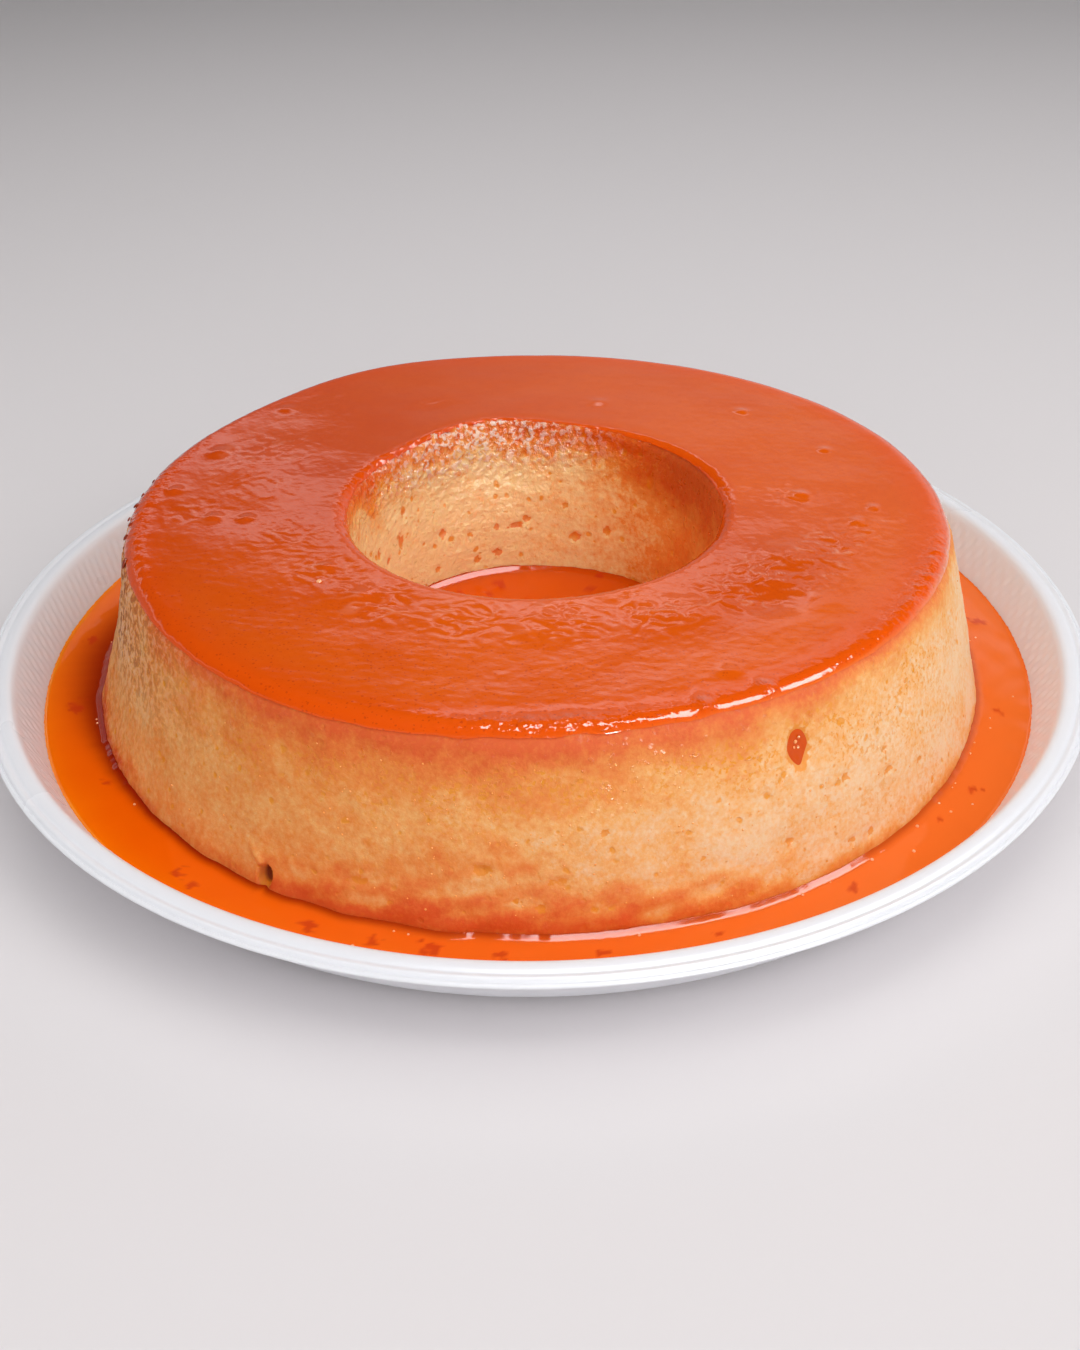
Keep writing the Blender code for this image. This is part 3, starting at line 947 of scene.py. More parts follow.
def make_well(caramel):
    """The caramel in the foot of the hole, with a meniscus up the hole's wall.

    The meniscus is steeper from the back round to the left than it is elsewhere.
    """
    angle = np.linspace(-180, 180, 320, endpoint=False)[None, :]
    shore = hole_radius(CARAMEL_LEVEL) + 0.25 * MM
    edge_rows = (1, 0.99, 0.98, 0.97, 0.962, 0.955, 0.948, 0.94, 0.93, 0.90)
    spread = np.r_[edge_rows, np.linspace(0.85, 0.05, 14)]
    radius = shore * spread[:, None] + 0 * angle
    slope = 0.45 + 0.29 * ramp(angle, 86, 104)
    height = CARAMEL_LEVEL + meniscus(shore - radius, 1.3 * caramel.meniscus_reach, slope)
    under_radius = np.array((0.05, 0.6, 0.98, 1.01))[:, None] * shore
    under_height = np.array(3 * [CUSTARD_BOTTOM] + [CARAMEL_LEVEL])[:, None] - 0.3 * MM
    under = turned(under_radius + 0 * angle, under_height + 0 * angle, angle)
    points = np.concatenate((under, turned(radius, height, angle)))
    x, y = points[..., 0], points[..., 1]
    fields = {
        "depth": np.ones_like(x),
        "milky": 0 * x,
        # Painted shade beside the hole's wall
        "shade": np.exp(-(shore - np.hypot(x, y)) / (2 * MM)) * 0.5,
        "bits": ramp(waves(x, y, x * 0, 6 * MM, 33), 1.5, 2.2),
    }
    # The sauce in the hole is darkened all over by painted shade
    material = caramel_material("caramel_well_liquid", caramel, dark=True)
    disc_piece(
        "caramel_well_surface", points, material, "caramel", stands_for=("caramel_well",), fields=fields
    )


# Plate ---------------------------------------------------------------------------------------


def plate_outline(thickness):
    """The plate's section from its underside's middle, out to the rim's edge and back over the top."""
    edge_round = 0.45 * MM
    edge_low = RIM_HEIGHT - 2 * edge_round
    foot_inner = FOOT_OUTER_RADIUS - FOOT_WIDTH
    outward = thickness * math.hypot(1, WALL_LEAN)
    under_rim = RIM_HEIGHT - thickness
    foot = soft(
        (
            (foot_inner - 2 * FOOT_HEIGHT, FOOT_HEIGHT),
            (foot_inner - 0.2 * MM, 0.15 * MM),
            (foot_inner + 0.8 * MM, 0),
            (FOOT_OUTER_RADIUS - 0.8 * MM, 0),
            (FOOT_OUTER_RADIUS + 0.2 * MM, 0.15 * MM),
        ),
        2,
    )
    under_wall = joined(wall_fillet(thickness)[::4], [(wall_radius(under_rim) + outward, under_rim)])
    rim_edge = arc(RIM_RADIUS - edge_round, edge_low, edge_round, -80, 70, 6)
    lobes = soft(
        (
            (RIM_RADIUS - edge_round, RIM_HEIGHT - edge_round),
            (RIM_RADIUS - 0.75 * MM, RIM_HEIGHT - 0.42 * MM),
            (RIM_RADIUS - 0.95 * MM, RIM_HEIGHT - 0.55 * MM),
            (RIM_RADIUS - 1.25 * MM, RIM_HEIGHT - 0.05 * MM),
            (RIM_RADIUS - 1.8 * MM, RIM_HEIGHT + 0.25 * MM),
            (RIM_RADIUS - 2.7 * MM, RIM_HEIGHT - 0.02 * MM),
            (RIM_RADIUS - 3.5 * MM, RIM_HEIGHT + 0.35 * MM),
            (RIM_RADIUS - 4.9 * MM, RIM_HEIGHT + RIM_CROWN),
            (RIM_INNER_RADIUS + 0.7 * MM, RIM_HEIGHT + 0.3 * MM),
            (RIM_INNER_RADIUS + 0.15 * MM, RIM_HEIGHT - 0.1 * MM),
            (wall_radius(edge_low), edge_low),
        ),
        3,
    )
    fillet = wall_fillet(0)[::-1]
    wall = walk((lobes[-1], fillet[0]), 0.75 * MM)
    start, end = [(6 * MM, FOOT_HEIGHT)], [(60 * MM, FLOOR_TOP), (6 * MM, FLOOR_TOP)]
    return joined(start, foot, under_wall, rim_edge, lobes, wall, fillet[::3], end)


def make_plate(plate):
    """The moulded plate: two lobes on its rim and slanting dashes pressed into its wall.

    The dashes are a wave round the wall that slants with height, times rows a slow wave apart.
    """
    section = plate_outline(plate.thickness)
    normals = normals_of(section)
    angle = np.linspace(-180, 180, plate.flute_count * 4, endpoint=False)[None, :]
    radius, height = section[:, :1], section[:, 1:]
    on_wall = ramp(height, 8 * MM, 11 * MM) * ramp(height, RIM_HEIGHT - 0.9 * MM, 17 * MM)
    on_wall = (normals[:, :1] < -0.5) * on_wall
    turn = np.radians(angle * plate.flute_count)
    dashes = np.cos(turn + height / (1.4 * MM))
    rows = 0.45 + 0.55 * np.cos(height / (3.4 * MM) * math.tau + turn * 0.5)
    relief = plate.flute_depth * on_wall * dashes * rows
    height = np.maximum(height + normals[:, 1:] * relief, 0)
    points = turned(radius + normals[:, :1] * relief, height, angle)
    disc_piece("plate_moulding", points, plate_material(plate), "plate", stands_for=("plate",))


# Small pieces --------------------------------------------------------------------------------


def ball():
    """Points and faces of a small ball of radius 1, from rings and two poles."""
    rise = np.linspace(-90, 90, BALL_RINGS + 2)[1:-1]
    turn = np.linspace(0, 360, BALL_SIDES, endpoint=False)
    level, round_it = np.radians(np.meshgrid(rise, turn, indexing="ij"))
    points = np.stack((np.cos(level) * np.cos(round_it), np.cos(level) * np.sin(round_it), np.sin(level)), -1)
    points, (quads, foot, head) = capped(points, ((0, 0, -1), (0, 0, 1)))
    return points, quads, np.vstack((foot, head))


def scatter_balls(centres, normals, sizes, flatness, stretch=1.0):
    """One mesh's points and faces from many small balls.

    Each is flattened along its normal and stretched upwards along the surface.
    """
    points, quads, caps = ball()
    up = np.array((0.0, 0.0, 1.0))
    side = np.cross(up, normals)
    side /= np.maximum(np.linalg.norm(side, axis=1), 1e-9)[:, None]
    along = np.cross(normals, side)
    sizes = np.asarray(sizes)[:, None, None]
    across, upward, outward = (points[None, :, k, None] for k in range(3))
    moved = across * side[:, None] + upward * along[:, None] * stretch
    moved = centres[:, None] + sizes * (moved + outward * normals[:, None] * flatness)
    offsets = np.arange(len(centres))[:, None, None] * len(points)
    return moved.reshape(-1, 3), [(quads + offsets).reshape(-1, 4), (caps + offsets).reshape(-1, 3)]


def surface_at(outline, height, angle):
    """Points and outward normals of the custard's side at these heights and angles."""
    length = outline.length_at(height, True)
    step, turn = 0.05 * MM, 0.03
    here = custard_points(outline, length, angle)
    above = custard_points(outline, length + step, angle)
    beside = custard_points(outline, length, angle + turn)
    normals = np.cross(beside - here, above - here)
    return here, normals / np.linalg.norm(normals, axis=1)[:, None]


def make_beads(settings):
    """Beads of thin syrup left on the custard's side, most of them at the front."""
    random = np.random.default_rng(61)
    count = settings.bead_count
    at_front = random.random(count) < 0.7
    angle = np.where(at_front, random.normal(-78, 24, count), random.uniform(-180, 180, count))
    height = np.clip(random.normal(29, 8, count), 12, 42) * MM
    centres, normals = surface_at(custard_outline(), height, angle)
    sizes = random.uniform(0.10, 0.26, count) * MM
    points, faces = scatter_balls(centres, normals, sizes, 0.75)
    material = shiny_material("syrup_bead", 90, settings.tinted, settings.soaked, 0.05)
    make_piece("syrup_beads", points, faces, material, "caramel")


def make_drop(caramel):
    """The drop of caramel that fills the largest pit of the side, pointed at its foot.

    It is a grid of rings round its middle, swollen as the root of 1 less the squared share of
    the way out, and closed by a back inside the custard.
    """
    angle, height, half_width, half_height, depth = SIDE_PITS[0]
    outline = custard_outline()
    turn = np.linspace(0, 360, 40, endpoint=False)[None, :]
    share = np.linspace(0.04, 1.15, 12)[:, None]
    across, upward = flat(share, turn)
    narrowing = 1 - 0.38 * line(-upward, 0, 1)
    place = angle + np.degrees(across * narrowing * half_width * 1.06 / side_radius(height))
    level = height + upward * half_height
    base, normals = surface_at(outline, level.ravel(), place.ravel())
    swell = (depth * 0.45 + 0.55 * MM) * np.sqrt(np.clip(1 - share**2, 0, 1)) - 0.15 * MM + 0 * turn
    grid = (share.size, turn.size, 3)
    front = (base + normals * swell.reshape(-1, 1)).reshape(grid)
    back = front[::-4] - normals.reshape(grid)[::-4] * 1.2 * MM
    points = np.concatenate((front, back))
    vertices, faces = capped(points, (points[0].mean(axis=0), points[-1].mean(axis=0)))
    ones = np.ones(len(vertices))
    # On the drop the shade field only deepens the drop's own red
    fields = {"depth": ones, "milky": 0 * ones, "shade": 0.42 * ones, "bits": 0 * ones}
    material = caramel_material("caramel_drop", caramel)
    make_piece("caramel_drop", vertices, faces, material, "caramel", fields=fields)


def make_crumbs():
    """Dark bits of cooked caramel caught on the film's left edge: six in a row, and a larger one."""
    random = np.random.default_rng(71)
    outline = custard_outline()
    angle = np.r_[np.linspace(170, 188, 6) + random.uniform(-1.0, 1.0, 6), 194.5]
    height = np.r_[random.uniform(46.9, 48.4, 6), 47.2] * MM
    sizes = np.r_[random.uniform(0.30, 0.50, 6), 0.75] * MM
    centres, normals = surface_at(outline, height, angle)
    points, faces = scatter_balls(centres + normals * 0.1 * MM, normals, sizes, 0.6, 1.9)
    material = shiny_material("cooked_caramel", 500, srgb(110, 34, 14), srgb(160, 60, 24), 0.15)
    make_piece("caramel_crumbs", points, faces, material, "caramel")


def make_bubbles(caramel):
    """Small bubbles: some along the caramel's shores, one on the top, and four on the drop."""
    random = np.random.default_rng(81)
    angle = np.r_[random.uniform(-180, 180, 26), random.uniform(-60, 20, 12)]
    count = angle.size
    at_custard = random.random(count) < 0.5
    radius = np.where(at_custard, custard_contact(angle) + 1.6 * MM, random.uniform(109, 115, count) * MM)
    centres = turned(radius, np.full(count, CARAMEL_LEVEL + 0.02 * MM), angle)
    top_place = turned(np.array((59.3 * MM,)), np.array((CUSTARD_TOP - 0.2 * MM,)), np.array((-141.6,)))
    heights, angles = np.array((38.9, 37.3, 37.7, 39.8)) * MM, np.array((-59.6, -59.1, -59.9, -58.9))
    spots, away = surface_at(custard_outline(), heights, angles)
    centres = np.vstack((centres, top_place, spots + away * 1.0 * MM))
    sizes = np.r_[random.uniform(0.18, 0.42, count), 0.7, 0.42, 0.34, 0.28, 0.3] * MM
    normals = np.vstack((np.tile((0.02, 0.0, 1.0), (count + 1, 1)), away))
    points, faces = scatter_balls(centres, normals / np.linalg.norm(normals, axis=1)[:, None], sizes, 0.8)
    # The bubbles' skin is clouded with the film's painted highlight colour, a painted highlight
    material = shiny_material("bubble_skin", 300, caramel.film_painted_highlight, caramel.shallow, 0.04)
    make_piece("caramel_bubbles", points, faces, material, "caramel")


# Materials -----------------------------------------------------------------------------------


def new_material(name):
    """A new node material, its tree, its shader and the object's own coordinates."""
    material = bpy.data.materials.new(name)
    material.use_nodes = True
    tree = material.node_tree
    place = add(tree, "TexCoord").outputs["Object"]
    return material, tree, tree.nodes["Principled BSDF"], place


def add(tree, kind, links=(), **settings):
    """A new node with its settings, inputs and links.

    A setting whose name is an input's, with _ for a space, sets that input.
    links gives (input, output socket) pairs.
    """
    node = tree.nodes.new("ShaderNode" + kind)
    for name, value in settings.items():
        if name in node.bl_rna.properties:
            setattr(node, name, value)
        else:
            node.inputs[name.replace("_", " ")].default_value = value
    for name, socket in links:
        tree.links.new(socket, node.inputs[name])
    return node


def set_input(tree, socket, value):
    """Links a socket to this input, or sets the input to a number."""
    if isinstance(value, bpy.types.NodeSocket):
        tree.links.new(value, socket)
    else:
        socket.default_value = value


def finish(tree, shader, **settings):
    """Sets the shader's inputs by name, with _ for a space, each to a socket or a number."""
    for name, value in settings.items():
        set_input(tree, shader.inputs[name.replace("_", " ")], value)


def attributes(tree, *names):
    """The values of the piece's own attributes with these names."""
    return [add(tree, "Attribute", attribute_name=name).outputs["Fac"] for name in names]


def combine(tree, operation, first, second):
    """A Math node's result from two values, each a socket or a number."""
    node = add(tree, "Math", operation=operation)
    set_input(tree, node.inputs[0], first)
    set_input(tree, node.inputs[1], second)
    return node.outputs[0]


def times(tree, first, second):
    """The product of two values."""
    return combine(tree, "MULTIPLY", first, second)


def plus(tree, first, second):
    """The sum of two values."""
    return combine(tree, "ADD", first, second)


def between(tree, value, low, high, from_low=0.0, from_high=1.0):
    """A Map Range node's clamped result: value moved from one range to another."""
    node = add(tree, "MapRange", [("Value", value)], clamp=True)
    node.inputs["From Min"].default_value = from_low
    node.inputs["From Max"].default_value = from_high
    node.inputs["To Min"].default_value = low
    node.inputs["To Max"].default_value = high
    return node.outputs["Result"]


def colour_steps(tree, value, stops):
    """A Color Ramp node's colour from stops of (place, colour)."""
    node = add(tree, "ValToRGB", [("Fac", value)])
    elements = node.color_ramp.elements
    while len(elements) < len(stops):
        elements.new(0.5)
    for element, (place, colour) in zip(elements, stops):
        element.position = place
        element.color = (*colour, 1.0)
    return node.outputs["Color"]


def mixed(tree, share, first, second):
    """A colour mixed from two, each a socket or a colour, by the share of the second."""
    node = add(tree, "Mix", data_type="RGBA")
    set_input(tree, node.inputs[0], share)
    for socket, colour in ((node.inputs[6], first), (node.inputs[7], second)):
        is_socket = isinstance(colour, bpy.types.NodeSocket)
        set_input(tree, socket, colour if is_socket else (*colour, 1.0))
    return node.outputs[2]


def layered(tree, base, layers):
    """A colour with others laid over it in turn, each given as (share, colour)."""
    for share, colour in layers:
        base = mixed(tree, share, base, colour)
    return base


def noise(tree, place, scale, detail=2.0, roughness=0.5):
    """A Noise Texture's value on these coordinates, with features about 1/scale apart."""
    links = [("Vector", place)]
    return add(tree, "TexNoise", links, Scale=scale, Detail=detail, Roughness=roughness).outputs[0]


def bumps(tree, height, strength, distance):
    """A Bump node's normal for a surface with this height."""
    return add(tree, "Bump", [("Height", height)], Strength=strength, Distance=distance).outputs[0]


def pores(tree, place, scale, smallest, largest, share):
    """Pores of uneven outline, one in some of the cells of a Voronoi pattern: 1 inside, 0 outside.

    Each cell draws its own radius, and only this share of the cells has a pore.
    """
    cloud = add(tree, "TexNoise", [("Vector", place)], Scale=scale * 1.3, Detail=1.0)
    moved = add(tree, "VectorMath", [(0, cloud.outputs["Color"]), (2, place)], operation="MULTIPLY_ADD")
    moved.inputs[1].default_value = (0.5 / scale, 0.5 / scale, 0.5 / scale)
    cells = add(tree, "TexVoronoi", [("Vector", moved.outputs[0])], Scale=scale, Randomness=1.0)
    draw = add(tree, "SeparateColor", [("Color", cells.outputs["Color"])])
    radius = between(tree, draw.outputs[0], smallest, largest)
    present = combine(tree, "LESS_THAN", draw.outputs[1], share)
    inside = combine(tree, "SUBTRACT", radius, cells.outputs["Distance"])
    soft_edge = between(tree, inside, 0.0, 1.0, 0.0, 0.12)
    return times(tree, soft_edge, present)


def stain_colours(tree, stain, settings):
    """The custard's colour from cream, where no caramel has soaked in, to deep orange."""
    stops = (
        (0.0, settings.cream),
        (0.25, settings.tinted),
        (0.5, settings.soaked),
        (0.75, settings.deep),
        (1.0, settings.edge),
    )
    return colour_steps(tree, stain, stops)


def custard_material(settings):
    """Baked custard, from cream to deep orange as the stain says.

    Laid over it are the hole's paler skin, orange pores and flecks, the colours of the pits and
    of the tear, painted shade in the low places and painted highlights on the high places of the
    grain at the left, and painted glints on the tops of the wet knobs. Then all of it is darkened
    by painted shade, most at the side's front left and in the hole's right. Wet skin, sparks and
    the hole shine the most.
    """
    material, tree, shader, place = new_material("baked_custard")
    stain, wet, coarse, flecked = attributes(tree, "stain", "wet", "coarse", "flecked")
    hollow, inside, browned = attributes(tree, "hollow", "inside", "browned")
    cloud = noise(tree, place, 90, 3.0)
    mottle = noise(tree, place, 800, 4.0, 0.65)
    lumps = noise(tree, place, 620, 3.0, 0.6)

    fine = between(tree, mottle, -0.15, 0.15, 0.3, 0.7)
    broad = between(tree, cloud, -0.05, 0.05, 0.3, 0.7)
    value = plus(tree, stain, plus(tree, fine, broad))
    paler = times(tree, inside, between(tree, value, 0.92, 0.0, 0.05, 0.50))
    paler = times(tree, paler, between(tree, wet, 1.0, 0.45))
    spots = pores(tree, place, 330, 0.10, 0.34, 0.5)
    flecks = between(tree, noise(tree, place, 1050, 2.0, 0.55), 0.0, 1.0, 0.52, 0.62)
    flecks = times(tree, times(tree, flecks, between(tree, cloud, 0.3, 1.0, 0.42, 0.58)), flecked)
    marks = plus(tree, times(tree, flecks, 0.85), times(tree, spots, 0.8))
    marks = times(tree, marks, between(tree, stain, 1.0, 0.1, 0.4, 0.75))
    ragged = plus(tree, hollow, between(tree, noise(tree, place, 800, 2.0), -0.3, 0.3, 0.3, 0.7))
    pit_cloud = between(tree, noise(tree, place, 160), 0.0, 0.8, 0.45, 0.6)
    pit = mixed(tree, pit_cloud, settings.pit, settings.fleck)
    pit = mixed(tree, inside, mixed(tree, 0.25, settings.fleck, settings.pit), pit)
    # Painted shade in the grain's low places and a painted highlight on its high places, at the left
    painted_shade_in_grain = times(tree, coarse, between(tree, lumps, 0.9, 0.0, 0.42, 0.52))
    painted_highlight_on_grain = times(tree, coarse, between(tree, lumps, 0.0, 0.8, 0.50, 0.60))
    # Painted glints on the tops of the wet knobs in the hole
    crests = times(tree, between(tree, wet, 0.0, 1.0, 0.3, 0.95), between(tree, lumps, 0.0, 0.9, 0.49, 0.59))
    layers = (
        (paler, settings.inner),
        (marks, settings.fleck),
        (between(tree, ragged, 0.0, 0.78, 0.26, 0.46), pit),
        (between(tree, hollow, 0.0, 0.9, 1.05, 1.5), settings.torn),
        (painted_shade_in_grain, settings.grain_painted_shade),
        (painted_highlight_on_grain, settings.tan),
        (crests, settings.crest),
    )
    base = layered(tree, stain_colours(tree, value, settings), layers)
    # Painted shade: the skin darkened a little over the whole side, most at its front left and high up in the
    # hole's right
    darker = between(tree, browned, 1.0, 0.70, 0.0, 2.0)
    skin = add(tree, "HueSaturation", [("Color", base), ("Value", darker)])

    grain = times(tree, noise(tree, place, 900, 3.0, 0.7), 0.16)
    grain = plus(tree, grain, times(tree, lumps, between(tree, coarse, 0.0, 2.0)))
    ripple = times(tree, lumps, between(tree, wet, 0.10, 2.8))
    sparks = between(tree, noise(tree, place, 560, 2.0), 0.0, 1.0, 0.64, 0.68)
    sparks = times(tree, sparks, plus(tree, times(tree, flecked, 0.6), inside))
    ripple = plus(tree, ripple, times(tree, sparks, 0.12))
    hollows = plus(tree, times(tree, flecks, -0.05), times(tree, spots, -0.14))
    height = plus(tree, plus(tree, grain, ripple), hollows)
    gloss = plus(tree, plus(tree, wet, sparks), times(tree, inside, 0.3))
    finish(
        tree,
        shader,
        Base_Color=skin.outputs["Color"],
        Normal=bumps(tree, height, 0.8, 1.0 * MM),
        Roughness=between(tree, gloss, 0.85, 0.08, 0.0, 0.7),
        Subsurface_Weight=0.18,
        Subsurface_Radius=(1.0, 0.45, 0.18),
        Subsurface_Scale=2.5 * MM,
        Specular_IOR_Level=0.36,
    )
    return material


def film_material(caramel):
    """The wet caramel film: glossy orange brown in soft clouds.

    It is darker at the back left, has painted shade right of the hole and on the hole's right
    lip, and is finely specked in places. Its edges are more orange, with a painted reflection on
    the last millimetre at the right, and its ripples have painted highlights on their tops.
    """
    material, tree, shader, place = new_material("caramel_film")
    rim, lip, specked, chipped = attributes(tree, "rim", "lip", "specked", "chipped")
    pale, thin, thick, crest = attributes(tree, "pale", "thin", "thick", "crest")
    specks = times(tree, pores(tree, place, 1150, 0.10, 0.38, 0.95), specked)
    layers = (
        (between(tree, noise(tree, place, 40, 4.0), 0.0, 0.5, 0.4, 0.75), caramel.film_dark),
        (between(tree, noise(tree, place, 500, 3.0, 0.6), 0.0, 0.25, 0.35, 0.7), caramel.film_dark),
        (times(tree, rim, 0.9), caramel.film_edge),
        # Painted shade, and the darker film at the back left
        (times(tree, thick, 0.6), caramel.film_darker_and_painted_shade),
        (times(tree, lip, 0.7), caramel.film_edge),
        (times(tree, specks, 0.55), caramel.speck),
        (times(tree, thin, 0.75), caramel.film_thin),
        # Painted reflection on the last millimetre at the right
        (times(tree, pale, 0.55), caramel.film_painted_highlight),
        # Painted highlights on the ripples' tops
        (times(tree, crest, 0.30), caramel.film_painted_highlight),
    )
    grain = times(tree, noise(tree, place, 900, 2.0), 0.035)
    lumps = times(tree, noise(tree, place, 140, 2.0), 0.05)
    chips = times(tree, noise(tree, place, 340, 2.0), times(tree, chipped, 2.4))
    height = plus(tree, plus(tree, grain, lumps), chips)
    finish(
        tree,
        shader,
        Base_Color=layered(tree, caramel.film, layers),
        Normal=bumps(tree, height, 0.5, 1.0 * MM),
        Roughness=0.09,
        IOR=1.40,
    )
    return material


def caramel_material(name, caramel, dark=False):
    """Thin caramel sauce: paler where it is shallow, with sunk bits.

    Beside the custard painted shade makes it red brown, and a painted sheen makes it paler and
    pinker where its field says. Painted shade makes the sauce in the hole darker all over.
    """
    material, tree, shader, place = new_material(name)
    depth, shade, bits, milky = attributes(tree, "depth", "shade", "bits", "milky")
    value = plus(tree, depth, between(tree, noise(tree, place, 70, 3.0), -0.12, 0.12, 0.3, 0.7))
    stops = (
        (0.0, caramel.shallow),
        (0.22, caramel.sauce),
        (1.0, caramel.sauce_deep),
    )
    layers = [
        # Painted sheen
        (milky, caramel.sauce_painted_sheen),
        # Painted shade, which on the drop deepens its own red
        (shade, caramel.dark_sauce_and_painted_shade),
        (times(tree, bits, 0.7), caramel.bit),
    ]
    if dark:
        # Painted shade over all the sauce in the hole
        layers.insert(1, (0.3, caramel.dark_sauce_and_painted_shade))
    base = layered(tree, colour_steps(tree, value, stops), layers)
    finish(tree, shader, Base_Color=base, Roughness=0.06, IOR=1.30)
    return material


def shiny_material(name, scale, first, second, roughness):
    """Syrup, cooked caramel or a bubble's skin: smooth, in clouds of two colours 1/scale apart."""
    material, tree, shader, place = new_material(name)
    base = mixed(tree, noise(tree, place, scale), first, second)
    finish(tree, shader, Base_Color=base, Roughness=roughness)
    return material


def plate_material(plate):
    """White moulded plastic with a faint haze in its gloss and its colour."""
    material, tree, shader, place = new_material("white_plastic")
    haze = noise(tree, place, 25, 3.0)
    hazy = srgb(223, 222, 226)
    finish(
        tree,
        shader,
        Base_Color=mixed(tree, between(tree, haze, 0.0, 0.06, 0.35, 0.65), plate.plastic, hazy),
        Roughness=between(tree, haze, 0.26, 0.36, 0.3, 0.7),
        Normal=bumps(tree, noise(tree, place, 220, 2.0), 0.05, 0.3 * MM),
        Subsurface_Weight=0.35,
        Subsurface_Radius=(1.0, 1.0, 1.0),
        Subsurface_Scale=2.5 * MM,
    )
    return material


# Settings ------------------------------------------------------------------------------------


def length_setting(label, default, about):
    """A length in metres."""
    shown = {"precision": 5, "unit": "LENGTH", "subtype": "DISTANCE"}
    return bpy.props.FloatProperty(name=label, description=about, default=default, min=0.0, **shown)


def colour_setting(label, default, about):
    """A colour in linear values."""
    return bpy.props.FloatVectorProperty(
        name=label, description=about, default=default, min=0.0, max=1.0, size=3, subtype="COLOR"
    )


def count_setting(label, default, lowest, highest, about):
    """A whole number."""
    return bpy.props.IntProperty(name=label, description=about, default=default, min=lowest, max=highest)


def power_setting(label, default, about):
    """A light's power in watts."""
    return bpy.props.FloatProperty(name=label, description=about, default=default, min=0.0, unit="POWER")


class PlateSettings(bpy.types.PropertyGroup):
    """What a user may change on the plate."""

    thickness: length_setting("Thickness", 1.2 * MM, "Thickness of the moulded wall")
    flute_depth: length_setting("Dash Depth", 0.25 * MM, "Depth of the dashes pressed into the wall")
    flute_count: count_setting("Dashes", 290, 40, 400, "Number of dashes in one row round the wall")
    plastic: colour_setting("Plastic", srgb(231, 232, 237), "Colour of the plastic")


class CustardSettings(bpy.types.PropertyGroup):
    """What a user may change on the custard."""

    bead_count: count_setting("Beads", 260, 0, 600, "Number of syrup beads on the side")
    sink: length_setting("Sink", 0.35 * MM, "How far the film is let into the top")
    cream: colour_setting("Cream", srgb(246, 205, 158), "Custard with no caramel in it")
    tinted: colour_setting("Tinted", srgb(247, 178, 102), "Custard with a trace of caramel")
    soaked: colour_setting("Soaked", srgb(242, 148, 64), "Custard half soaked with caramel")
    deep: colour_setting("Deep", srgb(236, 120, 38), "Custard soaked through near the film")
    edge: colour_setting("Edge", srgb(228, 90, 14), "Custard right at the film's edge")
    inner: colour_setting("Inner", srgb(255, 223, 158), "Clean custard in the hole")
    fleck: colour_setting("Fleck", srgb(240, 150, 6), "Fine flecks and pores in the side")
    pit: colour_setting("Pit", srgb(234, 114, 14), "The hollows of the largest pits")
    torn: colour_setting("Torn", srgb(132, 48, 22), "The dark of the tear")
    # Painted shade in the grain's low places
    grain_painted_shade: colour_setting("Drab", srgb(152, 62, 30), "Low places of the coarse grain at the left")
    # Painted glints on the knobs of the hole
    crest: colour_setting("Crest", srgb(255, 222, 200), "The palest skin on the knobs of the hole")
    # Painted highlight on the grain's high places
    tan: colour_setting("Tan", srgb(238, 190, 160), "High places of the coarse grain at the left")


class CaramelSettings(bpy.types.PropertyGroup):
    """What a user may change on the caramel."""

    film_thickness: length_setting("Film Thickness", 0.55 * MM, "Thickness of the film on the top")
    meniscus_reach: length_setting("Meniscus Reach", 1.45 * MM, "How far out the sauce starts to climb")
    film: colour_setting("Film", srgb(230, 96, 12), "The film over the top")
    film_edge: colour_setting("Film Edge", srgb(234, 82, 4), "The film near its outer edge")
    film_dark: colour_setting("Film Dark", srgb(214, 76, 6), "Thicker clouds in the film")
    # Painted shade right of the hole and on its right lip, and a darker film at the back left
    film_darker_and_painted_shade: colour_setting("Film Thick", srgb(186, 54, 10), "The film where it is thickest")
    speck: colour_setting("Speck", srgb(184, 54, 10), "Fine specks in the film")
    film_thin: colour_setting("Film Thin", srgb(236, 116, 44), "The film's thin outer edge")
    # Painted highlight: the film's last millimetre at the right, its ripples' tops and the bubbles' skin
    film_painted_highlight: colour_setting("Film Pale", srgb(252, 204, 176), "The film's thin edge at the right")
    shallow: colour_setting("Shallow Sauce", srgb(252, 150, 24), "Sauce where it thins out")
    sauce: colour_setting("Sauce", srgb(250, 116, 2), "Sauce of middling depth")
    sauce_deep: colour_setting("Deep Sauce", srgb(244, 98, 0), "Sauce at its deepest")
    # Painted sheen: the sauce paler and pinker everywhere but at the front left
    sauce_painted_sheen: colour_setting("Milky Sauce", srgb(242, 116, 46), "Sauce clouded with custard, at the right")
    # Painted shade beside the custard and in the hole; the drop takes it as its own deeper red
    dark_sauce_and_painted_shade: colour_setting("Sauce Shade", srgb(146, 28, 4), "Sauce beside the custard")
    bit: colour_setting("Sunk Bit", srgb(198, 52, 20), "Bits sunk in the sauce")


